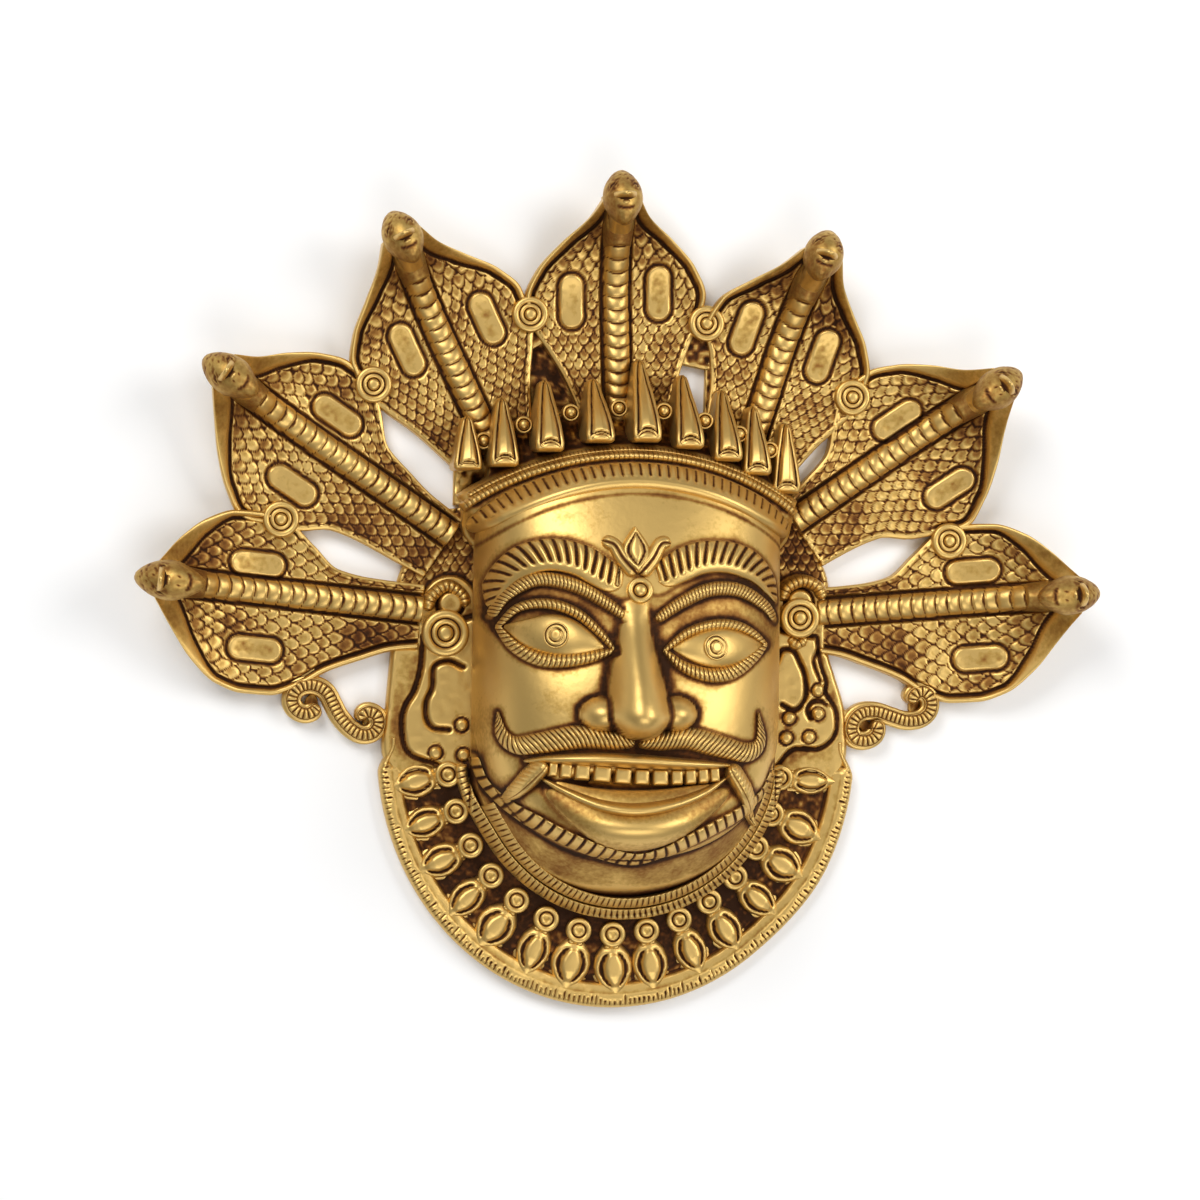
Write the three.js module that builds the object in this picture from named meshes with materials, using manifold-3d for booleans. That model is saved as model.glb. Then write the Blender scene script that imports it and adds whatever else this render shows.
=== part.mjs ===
// A cast brass mask of a fanged guardian face under seven cobra hoods, lying on its back.
// Millimetres. +X is to the viewer's right, +Y is to the crown and +Z comes out of the face.
import * as THREE from "three";
import { mergeVertices } from "three/addons/utils/BufferGeometryUtils.js";
import Module from "manifold-3d";

const wasm = await Module();
wasm.setup();

// Driving dimensions of the casting
const WALL = 3.2;
const PLATE_TOP = 4;
const SPARE = 0.5;
const FLAT = 0.55;
const MIDDLE_X = 1.05;
const MIDDLE_Y = -0.75;

// Hoods: half widths at distances behind the middle of the head
const STATIONS = [-2, 4, 12, 22, 34, 46, 60];
const HALF_WIDTHS = {
  crest: [4, 8, 18, 23.5, 19.3, 13, 8],
  stout: [4, 8, 18, 23.5, 19.5, 15.4, 12],
  slim: [5, 9.2, 17.5, 21.8, 15.8, 13, 10],
  plain: [5, 9.2, 17.5, 24, 22.6, 15.2, 10],
  upper: [5, 9.2, 17, 21.4, 19, 8.4, 5.4, 5],
  lower: [6, 12, 20.4, 27, 23.4, 17, 15, 13],
  shelf: [6, 11.6, 18, 20.4, 16.6, 8.2, 7, 6.4],
  free: [6.5, 12.4, 21, 26.4, 25, 17.6, 11.5, 9],
};
const HOODS = [
  { base: [1.1, 40], head: [-1.4, 98.3], left: "crest", right: "stout" },
  { base: [-30.6, 33.7], head: [-56.8, 86.8], left: "plain", right: "plain" },
  { base: [34.7, 35.1], head: [50.2, 84.8], left: "slim", right: "plain" },
  { base: [-41.8, 13.1], head: [-100.1, 51.9], left: "lower", right: "upper" },
  { base: [47.3, 18.3], head: [96.9, 53.2], left: "upper", right: "lower" },
  { base: [-49.2, -6.1], head: [-115.3, 0.4], left: "free", right: "shelf" },
  { base: [54, -5.3], head: [117.6, 0.4], left: "shelf", right: "free" },
];
const TIP_LIFT = 12;
const SIDE_CURL = 2.5;
const RIM = 1.3;
const BELLY_HALF = 3.4;
const BELLY_HIGH = 3;
const PAD = { d: 21, long: 7.4, wide: 3.7, high: 1.2 };
const HEAD = { long: 9.6, wide: 5.4, thick: 6.4, height: 22, nod: 0.6 };

// Ringed bosses where two hoods meet, and one on each ear
const BOSS_R = 4.7;
const HOOD_BOSSES = [
  [-22.6, 70.3],
  [23.4, 69.1],
  [-62.7, 51.3],
  [62.2, 50.9],
  [-85.8, 16.4],
  [88.6, 14],
];
const EAR_BOSSES = [
  [-43.4, -12, 5.6],
  [48.8, -6.7, 4.9],
];

// Face: a rounded front between the headband above and the jaw below
const FACE_X = 1;
const FACE_HALF = 41.3;
const FACE_LEFT = 0.91; // the left half is this much narrower than the right one
const FACE_EDGE = 8;
const FACE_FRONT = 45;
const FACE_ROUND = 2.5;
const JAW = { y: -33, half: 41.3, deep: 35, z: 31, round: 10 };
const COLLAR_IN = { y: -38, half: 43.5, deep: 44.5, z: 11 };

// Headband and the spikes that stand behind it
const BAND = { x: 3, y: -40.8, r: 70, low: 15, rise: 14, half: 42, thick: 3 };
const SHOULDER = { inner: 68, bend: 75, outer: 87, edge: 3.4, share: 0.9 };
const SPIKES = [-39, -30.2, -19.2, -6.7, 5.2, 16.4, 26.8, 35, 43.6];
const SPIKE_TRIMS = [3.4, 0, 0, 0, 0, 0, 0, 0, 0]; // how far the foot of each stands back
const SPIKE_CUTS = [3.4, 0, 0, 2.6, -1.6, 0, 0, 0, -1]; // how much shorter each is than the rule
const BEAD = { r: 1.9, foot: 3 };
const SPIKE = { x: 1.5, reach: 43.5, long: 18.8, shorter: 0.75, half: 3, base: 38.8, drop: 0.0068 };

// Bib below the chin
const BIB = { x: 1.3, y: -41, half: 61.3, deep: 67.2, rim: 4.4 };
const NECKLACE = { x: 3.2, y: -41, half: 40.8, deep: 42.6 };
const PENDANTS = 15;

// Features of the face, left and right, as places on its front
const TEETH = { count: 11, half: 20, x: 1.4, y: -48.9 };
const EYES = [
  [-19, -12.2],
  [20.6, -14.6],
];
const PUPIL = { r: 3.3, high: 3.6 };
const BROWS = [
  [[-33.3, -5.5], [-27.2, 4], [-16.7, 9.6], [-7, 6], [-2.6, -1]],
  [[37.6, -2.6], [33, 4], [22, 9.4], [12, 6.6], [6.8, -0.6]],
];
const LIDS = [
  [[-32.9, -8], [-28, 0], [-19.4, 2.6], [-10, -1], [-2.6, -8]],
  [[36.6, -8.4], [31, -1], [22.4, 1], [13, -2], [5.8, -8.4]],
];
const WHISKERS = [
  [[-1, -38], [-14, -37], [-24.6, -39.6], [-29.3, -38.2], [-31, -31]],
  [[6, -37], [16, -37], [27, -40], [32, -38.6], [33, -30.4]],
];
const LIPS = [
  [[-22, -42.6], [-10, -43.2], [4, -44.4], [16, -45], [25.5, -44.6]],
  [[-20.2, -47.6], [-11, -52.4], [1.6, -54.2], [13, -53], [23, -48.4]],
];
const FANGS = [
  [[-19.9, -44], [-25, -48.6], [-29.4, -53.2]],
  [[25.6, -44.4], [29.6, -49.6], [31.8, -56.4]],
];
const STRAP = [[-34.6, -43], [-26.3, -56], [-14, -64.6], [1.6, -68], [17, -64.8], [30.4, -57], [39.4, -45.6]];
const THIRD_EYE = { x: 1.8, y: -0.4, r: 3 };
const LOTUS = { x: 1.6, y: 4.2, long: 10.5, half: 2.6, leans: [-0.85, 0, 0.85] };
const NOSE_WING = { x: 8.4, y: -31.4, half: 5.2 };

// Ear panel and scroll of one side, as distances from the middle of the face
const EAR = {
  outline: [[37, 20], [48, 19], [57, 3], [56.5, -17], [58.5, -31], [61, -42], [52, -52], [36, -50]],
  lobe: [[47.5, -17.6], [49.4, -25], [49.5, -32.5], [45.5, -36]],
  top: 6,
};
const SCROLL = { inner: [63.6, -34.6], outer: [77.6, -29.8], disc: 5.2, top: 4.6, ribbon: 1.25 };

function smooth(t) {
  const c = Math.min(Math.max(t, 0), 1);
  return c * c * (3 - 2 * c);
}

function bump(x, y, halfX, halfY) {
  return Math.exp(-((x / halfX) ** 2) - (y / halfY) ** 2);
}

// The gap between the crest and the hood to its left is closed by a thin plate
const SLOT_FLOOR = [[-22, 66], [-22.4, 45], [-8.6, 45], [-17, 63.6]];
const SLOT_TOP = 1.6;

// Turns a geometry into a solid, with its faces pointing out
function solid(geometry) {
  const bare = geometry.clone();
  bare.deleteAttribute("normal");
  bare.deleteAttribute("uv");
  const merged = mergeVertices(bare, 1e-4);
  const index = merged.index.array;
  const corners = [];
  for (let i = 0; i < index.length; i += 3) {
    const [a, b, c] = [index[i], index[i + 1], index[i + 2]];
    if (a !== b && b !== c && c !== a) corners.push(a, b, c);
  }
  const vertProperties = merged.attributes.position.array;
  const made = (order) =>
    new wasm.Manifold(
      new wasm.Mesh({ numProp: 3, vertProperties, triVerts: new Uint32Array(order) }),
    );
  const first = made(corners);
  if (first.volume() > 0) return first;
  const turned = [];
  for (let i = 0; i < corners.length; i += 3) {
    turned.push(corners[i], corners[i + 2], corners[i + 1]);
  }
  return made(turned);
}

function geometryOf(points, corners) {
  const geometry = new THREE.BufferGeometry();
  geometry.setAttribute("position", new THREE.Float32BufferAttribute(points.flat(), 3));
  geometry.setIndex(corners);
  return geometry;
}

// A closed plate between two grids of points with the same rows and columns
function plate(top, bottom) {
  const rows = top.length;
  const columns = top[0].length;
  const points = [...top.flat(), ...bottom.flat()];
  const under = rows * columns;
  const corners = [];
  const quad = (a, b, c, d) => corners.push(a, b, c, a, c, d);
  for (let r = 0; r < rows - 1; r++) {
    for (let c = 0; c < columns - 1; c++) {
      const a = r * columns + c;
      const b = a + columns;
      quad(a, a + 1, b + 1, b);
      quad(under + a, under + b, under + b + 1, under + a + 1);
    }
  }
  for (let r = 0; r < rows - 1; r++) {
    const a = r * columns;
    const b = a + columns;
    quad(a, b, under + b, under + a);
    quad(b + columns - 1, a + columns - 1, under + a + columns - 1, under + b + columns - 1);
  }
  for (let c = 0; c < columns - 1; c++) {
    const last = (rows - 1) * columns + c;
    quad(c + 1, c, under + c, under + c + 1);
    quad(last, last + 1, under + last + 1, under + last);
  }
  return solid(geometryOf(points, corners));
}

// A closed body through rings that all have the same number of points
function loft(rings) {
  const n = rings[0].length;
  const points = rings.flat();
  const corners = [];
  for (let r = 0; r < rings.length - 1; r++) {
    for (let i = 0; i < n; i++) {
      const a = r * n + i;
      const b = r * n + ((i + 1) % n);
      corners.push(a, b, b + n, a, b + n, a + n);
    }
  }
  const last = (rings.length - 1) * n;
  for (let i = 1; i < n - 1; i++) {
    corners.push(0, i + 1, i, last, last + i, last + i + 1);
  }
  return solid(geometryOf(points, corners));
}

// A ridge along a path of [x, y, z, half width, height], with a flat top of a share of its width
function ridge(path, sink, flat = 0) {
  const rings = path.map((p, i) => {
    const before = path[Math.max(i - 1, 0)];
    const after = path[Math.min(i + 1, path.length - 1)];
    const run = Math.hypot(after[0] - before[0], after[1] - before[1]);
    const nx = -(after[1] - before[1]) / run;
    const ny = (after[0] - before[0]) / run;
    const [x, y, z, half, high] = p;
    const at = (side, dz) => [x + nx * side * half, y + ny * side * half, z + dz];
    const top = flat ? [at(flat, high), at(-flat, high)] : [at(0, high)];
    return [at(-1, -sink), at(1, -sink), ...top];
  });
  return loft(rings);
}

// Points along a smooth curve through a few flat points
function along(points, count) {
  const curve = new THREE.CatmullRomCurve3(points.map(([x, y]) => new THREE.Vector3(x, y, 0)));
  return curve.getSpacedPoints(count).map((p) => [p.x, p.y]);
}

function turned(profile, sides, x, y, z) {
  const outline = profile.map(([r, h]) => new THREE.Vector2(r, h));
  const geometry = new THREE.LatheGeometry(outline, sides).rotateX(Math.PI / 2);
  return solid(geometry.translate(x, y, z));
}

// A flat slab of one outline, from one height to another
function slab(outline, from, to) {
  const shape = new THREE.Shape(outline.map(([x, y]) => new THREE.Vector2(x, y)));
  const geometry = new THREE.ExtrudeGeometry(shape, { depth: to - from, bevelEnabled: false });
  return solid(geometry.translate(0, 0, from));
}

// The frame of one hood: its head, its way inwards and its right-hand side
function hoodFrame({ base, head }) {
  const length = Math.hypot(base[0] - head[0], base[1] - head[1]);
  const inward = [(base[0] - head[0]) / length, (base[1] - head[1]) / length];
  const side = [-inward[1], inward[0]];
  const at = (d, across) => [
    head[0] + inward[0] * d + side[0] * across,
    head[1] + inward[1] * d + side[1] * across,
  ];
  return { length, at, inward };
}

function hoodTop(d, u) {
  const lift = TIP_LIFT * Math.max(0, (26 - d) / 28) ** 1.7;
  const curl = SIDE_CURL * u ** 4 * smooth((34 - d) / 30);
  return PLATE_TOP + lift + curl;
}

// One hood is a leaf that curls forward, with a raised rim all round
function hoodLeaf(hood) {
  const { length, at } = hoodFrame(hood);
  const across = [-1, -0.94, -0.85, 0.85, 0.94, 1];
  const rims = [0.2, RIM, 0, 0, RIM, 0.2];
  const rows = STATIONS.filter((d) => d < length - 6);
  rows.push(length);
  const point = (d, row, i, drop) => {
    const widths = HALF_WIDTHS[across[i] < 0 ? hood.left : hood.right];
    const [x, y] = at(d, across[i] * widths[row]);
    const top = hoodTop(d, across[i]);
    return [x, y, drop ? top - PLATE_TOP - SPARE : top + rims[i]];
  };
  const grid = (drop) => rows.map((d, row) => across.map((_, i) => point(d, row, i, drop)));
  return plate(grid(false), grid(true));
}

// The belly of the snake runs down the middle of its hood and lifts off it near the head
function belly(hood) {
  const { length, at } = hoodFrame(hood);
  const path = [6, 14, 24, length].map((d) => [
    ...at(d, 0),
    hoodTop(d, 0),
    BELLY_HALF,
    BELLY_HIGH + 5 * smooth((20 - d) / 18),
  ]);
  return ridge(path, 1.5, FLAT);
}

// The head is an egg that nods forward over the tip of the hood
function snakeHead(hood) {
  const { inward, at } = hoodFrame(hood);
  const egg = new THREE.SphereGeometry(1, 7, 5).rotateX(Math.PI / 2);
  egg.scale(HEAD.wide, HEAD.long, HEAD.thick);
  egg.rotateX(HEAD.nod);
  egg.rotateZ(Math.atan2(inward[1], inward[0]) - Math.PI / 2);
  const [x, y] = at(0, 0);
  const neck = [];
  for (const [d, half, high] of [
    [-2, 5.4, HEAD.height - 1],
    [8, 4.4, hoodTop(8, 0) + 4],
  ]) {
    neck.push([...at(d, 0), hoodTop(d, 0) - 1.5, half, high - hoodTop(d, 0) + 1.5]);
  }
  return solid(egg.translate(x, y, HEAD.height)).add(ridge(neck, 0.2, FLAT));
}

// Two smooth oval pads lie on each hood, one on either side of the belly
function ovals(hood) {
  const { at } = hoodFrame(hood);
  return [-1, 1].map((side) => {
    const widths = HALF_WIDTHS[side < 0 ? hood.left : hood.right];
    const middle = side * (BELLY_HALF + widths[3] * 0.88) * 0.5;
    const ring = (scale, rise) =>
      Array.from({ length: 6 }, (_, i) => {
        const a = (i * Math.PI) / 3;
        const d = PAD.d + PAD.long * scale * Math.cos(a);
        const [x, y] = at(d, middle + PAD.wide * scale * Math.sin(a));
        return [x, y, hoodTop(d, 0) + rise];
      });
    return loft([ring(1, -1), ring(0.9, PAD.high)]);
  });
}

function ringedBoss(x, y, z, r) {
  const profile = [
    [0, -3],
    [r, -3],
    [r * 0.92, 1.6],
    [r * 0.5, 0.8],
    [r * 0.35, 2.1],
    [0, 2.1],
  ];
  return turned(profile, 8, x, y, z);
}

// Height of the headband's middle line, and its place at an angle from +Y
function bandPoint(angle, r) {
  const x = BAND.x + r * Math.sin(angle);
  const y = BAND.y + r * Math.cos(angle);
  const aside = (BAND.r * Math.sin(angle)) / BAND.half;
  return [x, y, BAND.low + BAND.rise * (1 - aside * aside)];
}

function halfShare(aside) {
  return aside < 0 ? FACE_LEFT : 1;
}

function bandEdgeY(x) {
  return BAND.y + Math.sqrt(Math.max((BAND.r - 1) ** 2 - (x - BAND.x) ** 2, 0));
}

function arcBelow(curve, x) {
  const t = Math.min(Math.abs(x - FACE_X) / (curve.half * halfShare(x - FACE_X)), 1);
  return curve.y - curve.deep * (1 - t ** 2.2) ** 0.5;
}

// Hollows of the eye sockets and the open mouth, and the swell of the chin
function faceRelief(x, y) {
  let z = 0;
  for (const [ex, ey] of EYES) z -= 2 * bump(x + FACE_X - ex, y - ey, 15, 10);
  z -= 3 * bump(x * 0.5, y + 47.4, 10, 4);
  return z + 2.2 * bump(x, y + 60, 15, 5);
}

function faceHeight(x, y) {
  const t = Math.min(Math.abs(x - FACE_X) / (FACE_HALF * halfShare(x - FACE_X)), 1);
  const across = (1 - t ** FACE_ROUND) ** (1 / FACE_ROUND);
  const jawY = arcBelow(JAW, x);
  const jawZ = FACE_EDGE + (JAW.z - FACE_EDGE) * across;
  if (y < jawY) {
    const down = (jawY - y) / (jawY - arcBelow(COLLAR_IN, x));
    return jawZ + (Math.min(COLLAR_IN.z, jawZ) - jawZ) * down;
  }
  const front = FACE_FRONT - 0.0032 * Math.max(y + 38, 0) ** 2;
  const plain = FACE_EDGE + (front - FACE_EDGE) * across;
  const turn = 1 - Math.min((y - jawY) / JAW.round, 1);
  const eased = jawZ + (plain - jawZ) * Math.sqrt(1 - turn * turn);
  return eased + faceRelief(x - FACE_X, y) * Math.min(1, (1 - t) * 6);
}

// Rows run from the collar to the jaw and on to the headband
function faceGrid(columns, rows, height, shrink) {
  const grid = [];
  for (let r = 0; r <= rows; r++) {
    const line = [];
    for (let c = 0; c <= columns; c++) {
      const u = (2 * c) / columns - 1;
      const t = Math.sign(u) * Math.abs(Math.sin((Math.PI * u) / 2)) ** 0.8;
      const x = FACE_X + FACE_HALF * halfShare(t) * t;
      const neckRows = Math.round(rows / 7);
      const [low, jaw, high] = [arcBelow(COLLAR_IN, x), arcBelow(JAW, x), bandEdgeY(x)];
      const y =
        r <= neckRows
          ? low + ((jaw - low) * r) / neckRows
          : jaw + ((high - jaw) * (r - neckRows)) / (rows - neckRows);
      line.push([FACE_X + (x - FACE_X) * shrink, -20 + (y + 20) * shrink, height(x, y)]);
    }
    grid.push(line);
  }
  return grid;
}

function faceDome() {
  const [columns, rows] = [12, 14];
  return plate(faceGrid(columns, rows, faceHeight, 1), faceGrid(columns, rows, () => -SPARE, 1));
}

// The hollow behind the face leaves a wall of even thickness
function faceHollow() {
  const shrink = 1 - WALL / FACE_HALF;
  const ceiling = (x, y) => {
    return Math.max(faceHeight(x, y) - WALL, 0.5);
  };
  return plate(faceGrid(8, 7, ceiling, shrink), faceGrid(8, 7, () => -5, shrink));
}

// A path that lies on the face
function onFace(points, count, half, high) {
  return along(points, count).map(([x, y], i) => [
    x,
    y,
    faceHeight(x, y),
    typeof half === "function" ? half(i / count) : half,
    high,
  ]);
}

// The nose is lofted down its bridge to a round tip with two wings
function nose() {
  const rings = [
    [-3, 3.2, 0.4],
    [-12, 3.6, 5],
    [-21, 4.8, 10],
    [-27, 6.4, 14],
    [-32, 6.2, 14.4],
    [-36.5, 4.6, 8],
  ].map(([y, half, high]) => {
    const z = faceHeight(FACE_X, y);
    const at = (across, rise) => [FACE_X + across, y, z + rise];
    return [
      at(-half * 1.5, -3),
      at(half * 1.5, -3),
      at(half, high * 0.5),
      at(half * 0.5, high),
      at(-half * 0.5, high),
      at(-half, high * 0.5),
    ];
  });
  const wing = (side) => {
    const { half, x: aside, y } = NOSE_WING;
    const ball = new THREE.SphereGeometry(half, 7, 5).scale(1, 1.1, 1.2);
    const x = FACE_X + side * aside;
    return solid(ball.translate(x, y, faceHeight(x, y) + 1.6));
  };
  return loft(rings).add(wing(-1)).add(wing(1));
}

// The upper teeth are one comb, deep at each tooth and shallow between
function toothComb() {
  const { count, half, x: middle, y: line } = TEETH;
  const teeth = [];
  for (let i = 0; i < count; i++) {
    for (const [part, high] of [
      [0.1, 2.8],
      [0.8, 1.4],
    ]) {
      const aside = (2 * (i + part)) / count - 1;
      const x = middle + half * aside;
      const y = line - 0.8 * aside;
      teeth.push([x, y, faceHeight(x, y), 2.4 - 0.7 * aside * aside, high]);
    }
  }
  return ridge(teeth, 2, FLAT);
}

// A petal of the lotus over the third eye, leaning from upright
function petal(lean) {
  const z = faceHeight(LOTUS.x, LOTUS.y + LOTUS.long * 0.6);
  const path = [0, 0.4, 1].map((t) => [
    LOTUS.x + Math.sin(lean) * LOTUS.long * t,
    LOTUS.y + Math.cos(lean) * LOTUS.long * t,
    z,
    0.4 + LOTUS.half * Math.sin(Math.PI * Math.min(t + 0.05, 0.96)),
    1.6,
  ]);
  return ridge(path, 3);
}

// Half width along a strip that narrows to both ends
function taper(wide) {
  return (t) => 0.5 + wide * Math.sin(Math.PI * Math.min(Math.max(t, 0.04), 0.96)) ** 0.7;
}

function faceFeatures() {
  const parts = [];
  for (const brow of BROWS) parts.push(ridge(onFace(brow, 6, taper(3.2), 1.6), 2, FLAT));
  for (const lid of LIDS) parts.push(ridge(onFace(lid, 4, 1.4, 1.6), 2));
  for (const [ex, ey] of EYES) {
    const z = faceHeight(ex, ey);
    const rim = (scaleX, scaleY, rise) =>
      Array.from({ length: 10 }, (_, i) => {
        const a = (i * Math.PI) / 5;
        const x = ex + scaleX * Math.cos(a);
        const y = ey + scaleY * Math.sin(a) * Math.abs(Math.sin(a)) ** 0.4;
        return [x, y, faceHeight(x, y) + rise];
      });
    parts.push(loft([rim(15, 8.4, -2.5), rim(14.4, 7.8, 1.6), rim(12.6, 6, 0.4), rim(7, 4, 2.4)]));
    const { r, high } = PUPIL;
    parts.push(turned([[0, -1], [r, -1], [r * 0.8, high], [0, high]], 6, ex, ey, z));
  }
  parts.push(nose());
  for (const half of WHISKERS) parts.push(ridge(onFace(half, 5, (t) => 2 - 1.2 * t ** 3, 2), 3));
  for (const lip of LIPS) parts.push(ridge(onFace(lip, 5, taper(1.4), 3.2), 2.5));
  parts.push(toothComb());
  for (const fang of FANGS) parts.push(ridge(onFace(fang, 3, (t) => 2 - 1.4 * t, 3), 2.5));
  const { x, y, r } = THIRD_EYE;
  parts.push(turned([[0, -3], [r, -3], [r * 0.85, 1.2], [0, 1.2]], 8, x, y, faceHeight(x, y)));
  for (const lean of LOTUS.leans) parts.push(petal(lean));
  parts.push(ridge(onFace(STRAP, 8, 1.6, 1.3), 3));
  return parts;
}

// The headband is a ribbed roll with a thin rope above it, on a shoulder that falls to the hoods
function headband() {
  const end = Math.asin(BAND.half / BAND.r);
  const roll = [];
  const ribs = 16;
  for (let i = 0; i <= ribs; i++) {
    const angle = end * ((2 * i) / ribs - 1);
    roll.push([...bandPoint(angle, BAND.r), BAND.thick, i % 2 ? 2.2 : 3]);
  }
  const rope = [];
  for (let i = 0; i <= 8; i++) {
    const angle = end * (i / 4 - 1);
    const [x, y, z] = bandPoint(angle, BAND.r + 4.4);
    rope.push([x, y, z - 1.6, 1.4, 1.6]);
  }
  const radii = [SHOULDER.inner, SHOULDER.bend, SHOULDER.outer];
  const shoulder = (drop) => shoulderGrid(radii, 1.06, drop ? WALL : 0);
  return [ridge(roll, 3.4, FLAT), ridge(rope, 2.4), plate(shoulder(false), shoulder(true))];
}

// Rows of points on the shoulder that falls from the headband to the hoods, or a depth below it
function shoulderGrid(radii, reach, depth) {
  const end = Math.asin(BAND.half / BAND.r) * reach;
  return radii.map((r) =>
    Array.from({ length: 9 }, (_, i) => {
      const ends = r === SHOULDER.outer && Math.abs(i - 4) > 2 ? 9 : 0;
      const [x, y, z] = bandPoint(end * (i / 4 - 1), r - ends);
      const share = r === SHOULDER.outer ? 0 : r === SHOULDER.bend ? SHOULDER.share : 1;
      return [x, y, Math.max(SHOULDER.edge + (z - 4.6) * share - depth, -SPARE)];
    }),
  );
}

// The hollow of the face runs on behind the headband
function bandHollow() {
  const radii = [SHOULDER.inner - 6, SHOULDER.bend - 1];
  const floor = shoulderGrid(radii, 0.8, 0).map((row) => row.map(([x, y]) => [x, y, -5]));
  return plate(shoulderGrid(radii, 0.8, WALL - 0.1), floor);
}

// Nine spikes stand side by side behind the headband, with a bead between each two
function spikes() {
  const parts = [];
  SPIKES.forEach((x, i) => {
    const aside = x - SPIKE.x;
    const y0 = SPIKE.base - SPIKE.drop * aside * aside + SPIKE_TRIMS[i];
    const long = SPIKE.long - SPIKE.shorter * Math.abs(i - 4) - SPIKE_CUTS[i];
    const z0 = BAND.low + BAND.rise * (1 - (aside / SPIKE.reach) ** 2) - 2;
    const rings = [
      [0, 0.75, 0, 0.6],
      [0.14, 1, 0.05, 1.8],
      [1, 0.25, 1, 1],
    ].map(([t, wide, fall, keel]) => {
      const half = SPIKE.half * wide;
      const edge = z0 + (10.5 - z0) * fall;
      const y = y0 + long * t;
      return [
        [x - half, y, 3],
        [x + half, y, 3],
        [x + half, y, edge],
        [x, y, edge + keel],
        [x - half, y, edge],
      ];
    });
    parts.push(loft(rings));
    if (i === SPIKES.length - 1) return;
    const bx = (x + SPIKES[i + 1]) / 2;
    const by = SPIKE.base + 7.4 - SPIKE.drop * (bx - SPIKE.x) ** 2;
    const bz = 5 + (z0 - 6) * 0.55;
    const { r, foot } = BEAD;
    parts.push(turned([[0, foot], [r, foot], [r * 0.9, bz + 1], [0, bz + 1]], 6, bx, by, 0));
  });
  return parts;
}

// The panel beside the face carries the ear, and a scroll reaches out from it to the lowest hood
function earPanel(side) {
  const at = (x, y) => [FACE_X + side * x, y];
  const panel = slab(EAR.outline.map(([x, y]) => at(x, y)), -SPARE, EAR.top);
  const groove = along(EAR.lobe.map(([x, y]) => at(x, y)), 6);
  const lobe = ridge(groove.map((p) => [...p, EAR.top, 2.6, 1.2]), 1);
  return [panel, lobe];
}

function scroll(side) {
  const [inner, outer] = [SCROLL.inner, SCROLL.outer].map(([x, y]) => [FACE_X + side * x, y]);
  const spiral = (middle, from, turn) =>
    Array.from({ length: 5 }, (_, i) => {
      const r = 4.2 - i * 0.4;
      const a = from + (turn * i * Math.PI) / 2.6;
      return [middle[0] + side * r * Math.cos(a), middle[1] + r * Math.sin(a)];
    });
  const path = [...spiral(inner, 1.2, 1).reverse(), ...spiral(outer, -1.9, 1)];
  const { disc: r, top, ribbon: half } = SCROLL;
  const ribbon = ridge(path.map((p) => [...p, top + 0.6, half, 1.3]), 1.2);
  const disc = ([x, y]) => turned([[0, -SPARE], [r, -SPARE], [r, top], [0, top]], 8, x, y, 0);
  const foot = slab(
    [
      [inner[0] - side * 7, inner[1] - 6],
      [inner[0] + side * 3, inner[1] - 4.6],
      [outer[0] - side * 3, outer[1] - 4],
      [outer[0] + side * 3, outer[1] + 7],
      [outer[0] - side * 3, outer[1] + 4],
      [inner[0], inner[1] + 4.8],
      [inner[0] - side * 7, inner[1] + 3],
    ],
    -SPARE,
    top - 0.2,
  );
  return [disc(inner), disc(outer), foot, ribbon];
}

// A point on a half oval that hangs below the chin, at an angle from straight down
function ovalPoint(oval, angle, scale) {
  const x = oval.x + oval.half * scale * Math.sin(angle);
  return [x, oval.y - oval.deep * scale * Math.cos(angle)];
}

// How far the right side of the bib stands out beyond the oval
function bibBulge(angle, scale) {
  const share = (t) => Math.min(Math.max(t, 0), 1);
  return 2 * share((angle - 0.65) / 0.45) * share((scale - 0.8) / 0.15);
}

// The bib is a half oval with a raised rim, two ropes round the neck and a row of pendants
function bib() {
  const steps = 16;
  const profile = [
    [1, 2.6],
    [0.97, BIB.rim],
    [0.9, 3.2],
    [0.8, 3.6],
    [0.6, 7],
  ];
  const reach = Math.PI / 2 + 0.03;
  const grid = (drop) =>
    profile.map(([scale, z]) =>
      Array.from({ length: steps + 1 }, (_, i) => {
        const angle = reach * ((2 * i) / steps - 1);
        const [x, y] = ovalPoint(BIB, angle, scale);
        return [x + bibBulge(angle, scale), y, drop ? -SPARE : z];
      }),
    );
  const parts = [plate(grid(false), grid(true))];
  for (const [scale, z] of [
    [1, 8],
    [0.925, 10.2],
  ]) {
    const rope = Array.from({ length: 11 }, (_, i) => {
      return [...ovalPoint(NECKLACE, 1.42 * (i / 5 - 1), scale), z, 1.5, 1.5];
    });
    parts.push(ridge(rope, 3.7));
  }
  for (let i = 0; i < PENDANTS; i++) {
    const angle = 1.42 * ((2 * i) / (PENDANTS - 1) - 1);
    const drop = [
      [0.71, 1.6, 5],
      [0.765, 2.6, 4.8],
      [0.8, 1.2, 3],
      [0.86, 3.4, 3.9],
      [0.94, 0.6, 2.2],
    ].map(([scale, half, high]) => [...ovalPoint(BIB, angle, scale), 2.4, half, high]);
    parts.push(ridge(drop, 0.4));
  }
  return parts;
}

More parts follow.
